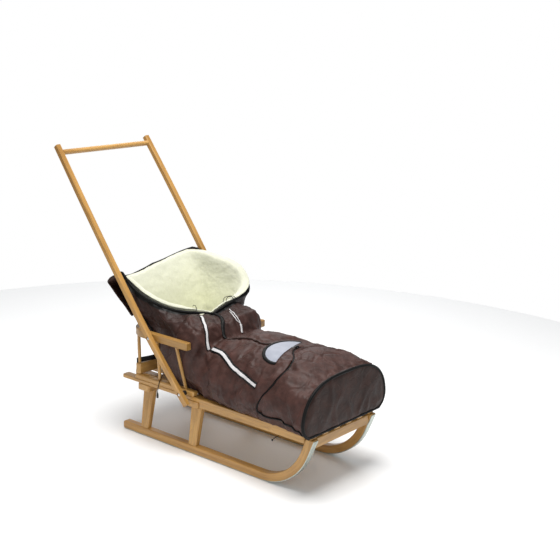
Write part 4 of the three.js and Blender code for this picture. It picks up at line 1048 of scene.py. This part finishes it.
# One side of the mouth's edge, from the back's top corner to the middle of the front, with shares of it.
def rimRun(side):
    edge = upperGrid(side, 1, 1)[1][:wingColumns + 1]
    return [(p, j / wingColumns) for j, p in enumerate(edge)]


# The half-moon patch beside the zip, left bare: its straight edge runs along the seam.
patch = {"centre": (655, -38, 415), "half": 101, "depth": 72, "edge": (46, -198), "lift": 0.002,
         "border": {"grow": 3, "width": 11, "lift": 2.8}}
patchAlong = Vector((*patch["edge"], 0)).normalized()
patchOut = Vector((patchAlong.y, -patchAlong.x, 0))


# 1 where the patch lies on the cloth, falling to 0 around it.
def underPatch(co):
    away = Vector(((co.x - rearX) * 1000, co.y * 1000, 0)) - Vector((*patch["centre"][:2], 0))
    along = away.dot(patchAlong)
    out = away.dot(patchOut)
    radial = math.hypot(along / patch["half"], out / patch["depth"])
    return clamp((1.4 - radial) / 0.25) * clamp((out + 14) / 10) * clamp((co.z * 1000 - 300) / 20)


def rowsFromRim(i, j):
    return rowsUp - i + max(j - wingColumns, 0)


# How firmly the seams hold a point of the cloth. Beside the front of the mouth the hold fades over some
# rows.
def heldAt(i, j):
    if i == 0 or j in (0, wingColumns + coverColumns) or (i == rowsUp and j <= wingColumns):
        return 1.0
    if j > wingColumns * 0.7 and rowsFromRim(i, j) < 6:
        return 1 - rowsFromRim(i, j) / 6
    if i == 1 or j == wingColumns + coverColumns - 1:
        return 0.4
    return 0.0


# The inner side thins out towards the mouth's edge and the back. Around the edge it is the cloth's own.
upper = {"thickness": 0.0115, "clothReach": 0.06, "thinBesideEdge": 14, "thinBesideBack": 5, "fill": 0.35}

# The drawcord gathers the cloth below the mouth's edge, and a yoke seam pulls it in. Depths are in metres,
# the place and the width of the seam in millimetres.
gathers = {"depth": 0.005, "wave": 10, "yoke": 0.006, "yokeX": 398, "yokeWidth": 9}


# Share of the full thickness at a point of the cloth.
def innerShare(i, j):
    wing = mix(0.5, 1, clamp((j - wingColumns) / 8))
    nearBack = clamp(j / upper["thinBesideBack"], 0.1)
    return wing * nearBack * clamp(rowsFromRim(i, j) / upper["thinBesideEdge"], 0.1)


def storeOn(made, name, values):
    made.data.attributes.new(name, "FLOAT", "POINT").data.foreach_set("value", values)


# Both side panels and the cover in one cloth; returns the finished outer face.
def makeUpper():
    points = []
    faces = []
    held = []
    thin = []
    for side in (-1, 1):
        start = len(points)
        for i, line in enumerate(upperGrid(side, rowsUp, coverColumns)):
            points += [at(*p) for p in line]
            held += [heldAt(i, j) for j in range(len(line))]
            thin += [innerShare(i, j) for j in range(len(line))]
        faces += gridFaces(rowsUp, wingColumns + coverColumns, start, side > 0)
    made = newMesh("muffUpper", points, faces, [rimShadedCloth, fleece])
    storeOn(made, "sewn", held)
    storeOn(made, "thin", thin)
    joined(made)
    held = [v.value for v in made.data.attributes["sewn"].data]
    seams = [sewn[name] for name in ("stripLower", "centreZip", "centreFold", "stripUpper")]
    seams += [mirrored(sewn["stripLower"]), mirrored(sewn["stripUpper"])]
    seamPlaces = [Vector(at(*p)) for line in seams for p in resample(line, 6)]
    for vertex in made.data.vertices:
        best = min((vertex.co - p).length for p in seamPlaces)
        held[vertex.index] = max(held[vertex.index], clamp(1.6 - best / 0.006), underPatch(vertex.co))
    loosened(made, held, lambda x: clamp((x - 60) / 60) * clamp((650 - x) / 25))

    def gather(co, index):
        x = (co.x - rearX) * 1000
        y = co.y * 1000
        z = co.z * 1000
        reach = clamp((z - 340) / 60) * clamp((x - 150) / 80) * clamp((405 - x) / 30)
        fold = abs(math.sin(y / gathers["wave"] + x / 60 + 2.4 * noise.noise(co * 14))) ** 0.7
        fromYoke = (x - gathers["yokeX"] + 0.12 * abs(y)) / gathers["yokeWidth"]
        yoke = math.exp(-(fromYoke ** 2)) * clamp((z - 300) / 60)
        return (reach * gathers["depth"] * (fold - 0.55) - gathers["yoke"] * yoke) * (1 - held[index])

    displace(made, gather)
    subdivided(made)
    otherFolds = [(mirrored(line), width, depth) for line, width, depth in sideFolds]
    pressFolds(made, collarFolds + sideFolds + otherFolds)
    displace(made, lambda co, index: crease(co) * (1 - underPatch(co)))
    rim = [Vector(at(*p)) for side in (-1, 1) for p in resample([p for p, share in rimRun(side)], 4)]
    rimTree = KDTree(len(rim))
    for index, place in enumerate(rim):
        rimTree.insert(place, index)
    rimTree.balance()
    # Distance from the mouth's edge, which sets where the painted shade falls on the cloth.
    storeOn(made, "rimDistance", [min(rimTree.find(v.co)[2] * 10, 2) for v in made.data.vertices])
    outside = surfaceTree(made)
    thicken(made, upper["thickness"], inner=1, thin="thin")
    for face in made.data.polygons:
        if rimTree.find(face.center)[2] < upper["clothReach"]:
            face.material_index = 0
    rideAs(made, "cloth", "footmuff_wing_right", "footmuff_wing_left", "footmuff_cover", fill=upper["fill"])
    return outside


foot = {"rows": 92, "columns": 34, "thickness": 0.008, "fill": 0.35}


# The foot cover, from the zip's seam forward, in rows from the right hem over the top to the left hem.
def makeFoot():
    rows, columns = foot["rows"], foot["columns"]

    def place(u, v):
        seam = overCover(u)[0]
        return coverPoint(mix(zipSeamX(seam) + zipHalf(seam), muff["front"], v), u)

    held = [1.0 if i in (0, rows) or j in (0, columns) else 0.4 * (j in (1, columns - 1))
            for i in range(rows + 1) for j in range(columns + 1)]
    made = newMesh("muffFoot", sheetPoints(rows, columns, place), gridFaces(rows, columns), [cloth, fleece])
    loosened(made, held, lambda x: clamp((muff["front"] - x) / 20))
    subdivided(made)
    displace(made, lambda co, index: crease(co))
    outside = surfaceTree(made)
    thicken(made, foot["thickness"], inner=1)
    rideAs(made, "cloth", "footmuff_foot_cover", fill=foot["fill"])
    return outside


endPanel = {"rows": 56, "columns": 64, "gap": 0.4, "bulge": 7.5, "rounding": 30, "thickness": 0.004,
            "fill": 0.3}


# The panel at the foot end bulges, rounds off towards its seam and has soft wrinkles.
def makeEnd():
    rows, columns = endPanel["rows"], endPanel["columns"]
    top = muff["bottom"] + coverSize(muff["front"])[1]

    def place(u, v):
        half, z = archAt(muff["front"], u)[1:]
        across = mix(-1, 1, v)
        inside = min(half * (1 - abs(across)), z - muff["bottom"], top - z)
        out = endPanel["bulge"] * (1 - (1 - clamp(inside / endPanel["rounding"])) ** 2) ** 0.5
        return at(muff["front"] + endPanel["gap"] + out, across * max(half, 0.5), z)

    def wrinkle(co, index):
        i, j = divmod(index, columns + 1)
        inside = clamp(min(i, rows - i, j, columns - j) / 4)
        astray = Vector((0, noise.noise(co * 12), noise.noise(co * 9)))
        bent = Vector((0, co.y * 1.5, co.z * 0.8)) + 0.02 * astray
        return inside * (0.006 * clamp(ridged(bent, 12, 4.4) - 0.4) + 0.003 * noise.noise(co * 14))

    made = newMesh("muffEnd", sheetPoints(rows, columns, place), gridFaces(rows, columns), [darkCloth])
    displace(made, wrinkle)
    thicken(made, endPanel["thickness"])
    rideAs(made, "dark_cloth", "footmuff_end_panel", fill=endPanel["fill"])


backPad = {"rows": 60, "columns": 56, "lift": 0.4, "frontRound": 0.95, "rearRound": 5, "fill": 0.4}


# The pad has a front and a rear side, both rounded towards the edges, and a strip of faces between them.
def makeBack():
    rows, columns = backPad["rows"], backPad["columns"]

    def side(depth):
        def place(u, v):
            across = mix(-1, 1, v)
            z = mix(muff["seat"] + backPad["lift"], backTop(across), u)
            y = across * backHalf(z)
            return at(backFaceX(z) + backCurl(y, z) + depth(plump(u, v)), y, z)

        return sheetPoints(rows, columns, place)

    points = side(lambda full: back["thickness"] * mix(backPad["frontRound"], 1, full))
    count = len(points)
    points += side(lambda full: backPad["rearRound"] * (1 - full))
    faces = gridFaces(rows, columns) + gridFaces(rows, columns, count, True)
    edge = list(range(columns + 1))
    edge += [i * (columns + 1) + columns for i in range(1, rows + 1)]
    edge += [rows * (columns + 1) + j for j in range(columns - 1, -1, -1)]
    edge += [i * (columns + 1) for i in range(rows - 1, 0, -1)]
    faces += [(b, a, a + count, b + count) for a, b in zip(edge, edge[1:] + edge[:1])]
    rideAs(newMesh("muffBack", points, faces, [cloth]), "cloth", "footmuff_back", fill=backPad["fill"])


# The fleece inside the mouth. Its wall stands depth inside the cloth, and its lip rises by lip and reaches
# over the edge by over, on each side.
bowl = {"rows": 52, "lipRows": 9, "columns": 128, "low": 0.03, "depth": 15, "backDepth": 9,
        "lip": {-1: 21, 1: 16}, "over": {-1: -4, 1: 11}, "frontOver": -4, "frontLip": 9, "backLip": 2,
        "lipTurn": 150, "wallTurns": 24, "turns": 3, "thickness": 0.005, "fill": 0.6,
        "pile": ((0.0008, 150), (0.0014, 45), (0.003, 14))}


# Direction into the mouth at a point of a side panel's outer face. It turns level near the edge.
def inwardAt(outer, i, j, side, level):
    along = outer[i][min(j + 1, wingColumns)] - outer[i][max(j - 1, 0)]
    up = outer[i + 1][j] - outer[max(i - 1, 0)][j]
    inward = np.cross(along, up / np.linalg.norm(up)) * side
    inward /= max(np.linalg.norm(inward), 1e-9)
    flat = np.array((along[1], -along[0], 0)) * side / max(np.linalg.norm(along[:2]), 1e-9)
    flat = mix(flat, np.array((-1, 0, 0)), clamp((j / wingColumns - 0.8) / 0.2))
    inward = mix(inward, flat, level)
    return inward / np.linalg.norm(inward)


# The fleece inside one side panel at one level, from the back forward.
def wallRun(outer, t, lean, side):
    rows = len(outer) - 1
    i = min(int(t * rows), rows - 1)
    level = clamp((t - 0.72) / 0.2)
    run = []
    for j in range(wingColumns + 1):
        point = mix(outer[i][j], outer[i + 1][j], t * rows - i)
        share = j / wingColumns
        ahead = clamp((1 - share) * 6)
        depth = muff["thickness"] + bowl["depth"] * mix(0.3, 1, ahead)
        over = mix(bowl["frontOver"], bowl["over"][side] * clamp(share * 6), clamp((0.96 - share) * 8))
        lip = mix(bowl["frontLip"], bowl["lip"][side], ahead) * clamp(share * 5, 0.35)
        half = (depth + over) / 2
        turned = lean * mix(1, 0.6, clamp((share - 0.84) / 0.1))
        inside = point + inwardAt(outer, i, j, side, level) * (depth - half + half * math.cos(turned))
        run.append(inside + np.array((0, 0, 1)) * lip * math.sin(turned))
    return run


# Inside of the wings and the back at one level, from the middle of the front round the right side, the back
# and the left side. lean is the angle over the lip, or 0 on the wall.
def bowlLine(t, lean, wings):
    full = back["thickness"] + bowl["backDepth"]
    line = []
    for side in (-1, 1):
        kept = []
        for p in wallRun(wings[side], t, lean, side):
            if p[0] > backFaceX(p[2]) + backCurl(min(abs(p[1]), backHalf(p[2])), p[2]) + full + 3:
                kept.append(p)
        line.append(kept[::-1] if side < 0 else kept)
    right = abs(line[0][-1][1]) - 3
    left = abs(line[1][0][1]) - 3
    depth = mix(full, muff["thickness"], (1 - math.cos(lean)) / 2)
    middle = []
    for across in np.linspace(-1, 1, 57):
        z = mix(muff["seat"] + 5, backTop(across) + 3, t)
        y = across * backHalf(z)
        if -right <= y <= left:
            rise = bowl["backLip"] * math.sin(lean)
            middle.append(np.array((backFaceX(z) + backCurl(y, z) + depth, y, z + rise)))
    return line[0] + middle + line[1]


# The line's points moved to equal steps, then rounded where the wall turns.
def evened(line, count):
    lengths = runLengths(line)
    grid = np.array(line)
    wanted = np.linspace(0, lengths[-1], count)
    even = np.stack([np.interp(wanted, lengths, grid[:, k]) for k in range(3)], axis=1)
    rounded(even, 14)
    return even


# The fleece: one soft bowl inside the mouth, from low on the back up over the mouth's edge.
def makeLining():
    wings = {side: upperGrid(side, rowsUp, 1) for side in (-1, 1)}
    levels = [(mix(bowl["low"], 1, i / bowl["rows"]), 0) for i in range(bowl["rows"] + 1)]
    lipTurn = math.radians(bowl["lipTurn"])
    levels += [(1, lipTurn * k / bowl["lipRows"]) for k in range(1, bowl["lipRows"] + 1)]
    grid = np.array([evened(bowlLine(t, lean, wings), bowl["columns"] + 1) for t, lean in levels])
    rounded(grid[:bowl["rows"]], bowl["wallTurns"])
    rounded(grid, bowl["turns"])
    points = [at(*p) for line in grid for p in line]
    made = newMesh("muffLining", points, gridFaces(len(levels) - 1, bowl["columns"]), [fleece])
    storeOn(made, "pale", np.repeat([clamp((t - 0.6) / 0.4) for t, lean in levels], bowl["columns"] + 1))
    subdivided(made)
    displace(made, lambda co, index: sum(size * noise.noise(co * scale) for size, scale in bowl["pile"]))
    thicken(made, bowl["thickness"])
    rideAs(made, "fleece", "footmuff_lining", fill=bowl["fill"])


mat = {"rows": 90, "columns": 50, "rear": 214, "gap": 1, "lift": 0.4, "height": 16, "thickness": 0.005,
       "fill": 0.5}


# The mat on the seat, as wide as the cover inside.
def makeMat():
    rows, columns = mat["rows"], mat["columns"]

    def place(u, v):
        x = mix(mat["rear"], muff["front"] - mat["gap"], u)
        half = archPoints(max(x, muff["rear"]), muff["thickness"])[0][1] - mat["gap"]
        z = muff["seat"] + mat["lift"] + mat["height"] * mix(0.4, 1, plump(u, v))
        return at(x, mix(half, -half, v), z)

    faces = gridFaces(rows, columns, flip=True)
    made = newMesh("muffMat", sheetPoints(rows, columns, place), faces, [fleece])
    displace(made, lambda co, index: 0.002 * noise.noise(co * 70) + 0.002 * noise.noise(co * 30))
    thicken(made, mat["thickness"])
    rideAs(made, "fleece", "footmuff_mat", fill=mat["fill"])


# The pocket hangs behind the backrest: sag lists how far down and how far out, from the top to the foot.
pocket = {"rows": 48, "columns": 48, "foot": 448, "depth": 72, "thickness": 0.0025, "fill": 0.1,
          "sag": [(0, 0), (0.08, 0.3), (0.2, 0.8), (0.3, 1), (0.46, 0.8), (0.72, 0.38), (1, 0)]}


def makePocket():
    rows, columns = pocket["rows"], pocket["columns"]
    knots = [np.array((down, off, 0.0)) for down, off in pocket["sag"]]

    def place(u, v):
        down, off = spline(knots, u)[:2]
        across = mix(-1, 1, v)
        z = mix(backTop(across) - 5, pocket["foot"], down)
        y = across * backHalf(z)
        depth = max(off, 0) * pocket["depth"] * mix(0.45, 1, across * across)
        return at(backFaceX(z) + backCurl(y, z) - 0.4 - depth - 3 * clamp(down * 8), y, z)

    # Folds that fade towards the seam at the top.
    def sway(co, index):
        free = clamp(index // (columns + 1) / 6)
        return free * (0.004 * noise.noise(co * 12) + 0.002 * ridged(co, 18, 2.2))

    made = newMesh("muffPocket", sheetPoints(rows, columns, place), gridFaces(rows, columns), [darkCloth])
    displace(made, sway)
    thicken(made, pocket["thickness"])
    rideAs(made, "dark_cloth", "footmuff_pocket", fill=pocket["fill"])


upperFace = makeUpper()
footFace = makeFoot()
makeEnd()
makeBack()
makeLining()
makeMat()
makePocket()
print("footmuff ready")


zipTape = {"rows": 150, "low": 0.1, "overlap": 1, "sunk": (2.5, 0.6, 2.5), "thickness": 0.0015, "fill": 0.1}


# A shallow ridge of webbing that fills the gap between cover and foot cover.
def makeZipTape():
    rows = zipTape["rows"]

    def place(u, v):
        u = mix(zipTape["low"], 1 - zipTape["low"], u)
        share = overCover(u)[0]
        across = 2 * v - 1
        wide = zipHalf(share) + zipTape["overlap"]
        return coverPoint(zipSeamX(share) + across * wide, u, zipTape["sunk"][round(2 * v)])

    made = newMesh("zipTape", sheetPoints(rows, 2, place), gridFaces(rows, 2), [webbing])
    thicken(made, zipTape["thickness"])
    rideAs(made, "black_webbing", "zip_tape", fill=zipTape["fill"])


strap = {"columns": 60, "rise": 0.018, "thickness": 0.002, "fill": 0.1}


# The strap bows back round the rear spindles, within the box of its solid.
def makeStrap():
    low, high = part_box("footmuff_strap")

    def place(u, v):
        across = mix(-1, 1, u)
        x = mix(high.x - 0.001, low.x + 0.003, across * across)
        z = (low.z, (low.z + high.z) / 2, high.z)[round(2 * v)]
        return Vector((x, across * (high.y - 0.002), z + strap["rise"] * (0.5 - abs(across) ** 1.6)))

    columns = strap["columns"]
    made = newMesh("muffStrap", sheetPoints(columns, 2, place), gridFaces(columns, 2, flip=True), [webbing])
    thicken(made, strap["thickness"])
    rideAs(made, "black_webbing", "footmuff_strap", fill=strap["fill"])


makeZipTape()
makeStrap()

# Radii of the piping, in metres.
pipings = {"rim": 0.0048, "back": 0.0034, "joint": 0.003, "end": 0.0055}


def piping(name, line, radius, closed=False):
    rideAs(tube(name, line, radius, webbing, closed=closed), "black_webbing")


# The piping on the mouth's edge sinks into the fleece along the left side, where the fleece hides it.
def makePiping():
    line = []
    for side, run in ((-1, rimRun(-1)), (1, rimRun(1)[::-1])):
        for p, share in run:
            hidden = clamp(share * 8) * clamp((0.87 - share) * 12) if side > 0 else 0
            line.append(at(*p) + Vector((0, 0.001 * hidden, 0.002 - 0.015 * hidden)))
    piping("rimPiping", line, pipings["rim"])
    top = []
    for across in np.linspace(-0.98, 0.98, 41):
        z = backTop(across)
        y = across * backHalf(z)
        top.append(at(backFaceX(z) + backCurl(y, z) + 8, y, z + 3.6))
    piping("backPiping", [line[0], *top, line[-1]], pipings["back"])
    for side, hand in ((-1, "Right"), (1, "Left")):
        joint = resample(wingRibs(side)[0], 8)
        line = [at(*p) + Vector((0, side * 0.001, 0)) for p in joint]
        piping("jointPiping" + hand, line, pipings["joint"])
    edge = []
    for k in range(97):
        share, side = overCover(k / 96)
        y, z = archAt(muff["front"], share)[1:]
        edge.append(at(muff["front"] + 1.5, side * y, z))
    piping("endPiping", edge, pipings["end"], True)


# A flat ribbon sewn on the cloth along a line: edges in the first material, the middle in the second.
# Widths and lift are in millimetres.
def ribbon(name, line, width, middle, lift, materials, turns=2):
    places = resample(line, 4)
    offsets = [-width / 2, -middle / 2, middle / 2, width / 2] if middle else [-width / 2, 0, width / 2]
    points = []
    for k, p in enumerate(places):
        before = at(*places[max(k - 1, 0)])
        after = at(*places[min(k + 1, len(places) - 1)])
        place, normal = upperFace.find_nearest(at(*p))[:2]
        across = normal.cross(after - before).normalized()
        for offset in offsets:
            snapped, facing = upperFace.find_nearest(place + across * offset / 1000)[:2]
            edge = 0.4 if abs(offset) == width / 2 else 1
            points.append(snapped + facing * lift * edge / 1000)
    grid = np.array(points).reshape(len(places), len(offsets), 3)
    rounded(grid, turns)
    made = newMesh(name, grid.reshape(-1, 3), gridFaces(len(places) - 1, len(offsets) - 1), materials)
    if middle:
        for k, face in enumerate(made.data.polygons):
            face.material_index = 1 if k % 3 == 1 else 0
    thicken(made, 0.0012)
    rideAs(made, "black_webbing")


# A cord sewn on the cloth along a line; radius and sink are in metres.
def sewnTube(name, tree, line, radius, material, sink=0.0):
    places = []
    for p in resample(line, 4):
        place, normal = tree.find_nearest(at(*p))[:2]
        places.append(place + normal * (radius - sink))
    rideAs(tube(name, places, radius, material), "black_webbing")


# The patch's round edge, made larger by grow.
def patchArc(grow, step):
    count = round(math.pi * patch["half"] / step)
    centre = Vector(patch["centre"])
    arc = []
    for k in range(count + 1):
        angle = k / count * math.pi
        along = patchAlong * (patch["half"] + grow) * math.cos(angle)
        arc.append(centre + along + patchOut * (patch["depth"] + grow) * math.sin(angle))
    return arc


# The patch between its round edge and the straight one, laid on the cloth, with a border of webbing.
def makePatch():
    arc = patchArc(0, 4)
    rows = 24
    points = []
    for i in range(rows + 1):
        for k, p in enumerate(arc):
            straight = arc[0].lerp(arc[-1], (1 - math.cos(k / (len(arc) - 1) * math.pi)) / 2)
            place, normal = upperFace.find_nearest(at(*straight.lerp(p, i / rows)))[:2]
            points.append(place + normal * patch["lift"])
    grid = np.array(points).reshape(rows + 1, len(arc), 3)
    for turn in range(3):
        grid[1:-1, 1:-1] = (grid[:-2, 1:-1] + grid[2:, 1:-1] + grid[1:-1, :-2] + grid[1:-1, 2:]) / 4
    made = newMesh("muffPatch", grid.reshape(-1, 3), gridFaces(rows, len(arc) - 1), [patchGrey])
    if made.data.polygons[len(made.data.polygons) // 2].normal.z < 0:
        made.data.flip_normals()
    rideAs(made, "cloth")
    border = patch["border"]
    outline = [tuple(p) for p in patchArc(border["grow"], 8)]
    ribbon("patchBorder", outline, border["width"], 0, border["lift"], [webbing], 4)


# Ribbons: whole width, width of the pale middle or 0, lift, and materials.
strips = {
    "upper": (16, 8, 1.6, [webbing, tapeWhite]),
    "lower": (22, 9.5, 1.8, [webbing, tapeWhite]),
    "tab": (9, 0, 2, [tapeWhite]),
    "zip": (15, 0, 3, [webbing]),
}

makePiping()
ribbon("stripUpperRight", sewn["stripUpper"], *strips["upper"])
for k, line in enumerate(sewn["drawEnds"]):
    sewnTube(f"drawEnd{k}", upperFace, line, 0.0017, tapeWhite)
ribbon("drawTab", sewn["drawTab"], *strips["tab"])
ribbon("stripLowerRight", sewn["stripLower"], *strips["lower"])
ribbon("stripLowerLeft", mirrored(sewn["stripLower"]), *strips["lower"])
ribbon("centreZip", sewn["centreZip"], *strips["zip"])
sewnTube("centreFold", upperFace, sewn["centreFold"], 0.0035, darkCloth, 0.0022)
makePatch()
sewnTube("hemZipRight", footFace, sewn["hemZip"], 0.003, webbing, 0.0015)
sewnTube("hemZipLeft", footFace, mirrored(sewn["hemZip"]), 0.003, webbing, 0.0015)

# Thin cords that stand up from the fleece on the mouth's edge.
rimLoops = {
    "rimLoopRight": [(252, -56, 470), (246, -48, 480), (240, -48, 489), (238, -54, 492), (240, -60, 490)],
    "rimLoopLeft": [(268, 66, 484), (262, 78, 497), (266, 96, 501), (274, 116, 498), (282, 128, 484)],
    "rimLoopFront": [(272, 76, 484), (266, 92, 498), (273, 106, 498), (284, 112, 484)],
}
for name, line in rimLoops.items():
    rideAs(tube(name, smoothPoints(line), 0.0011, cordBlack), "black_cord")
print("trim ready")
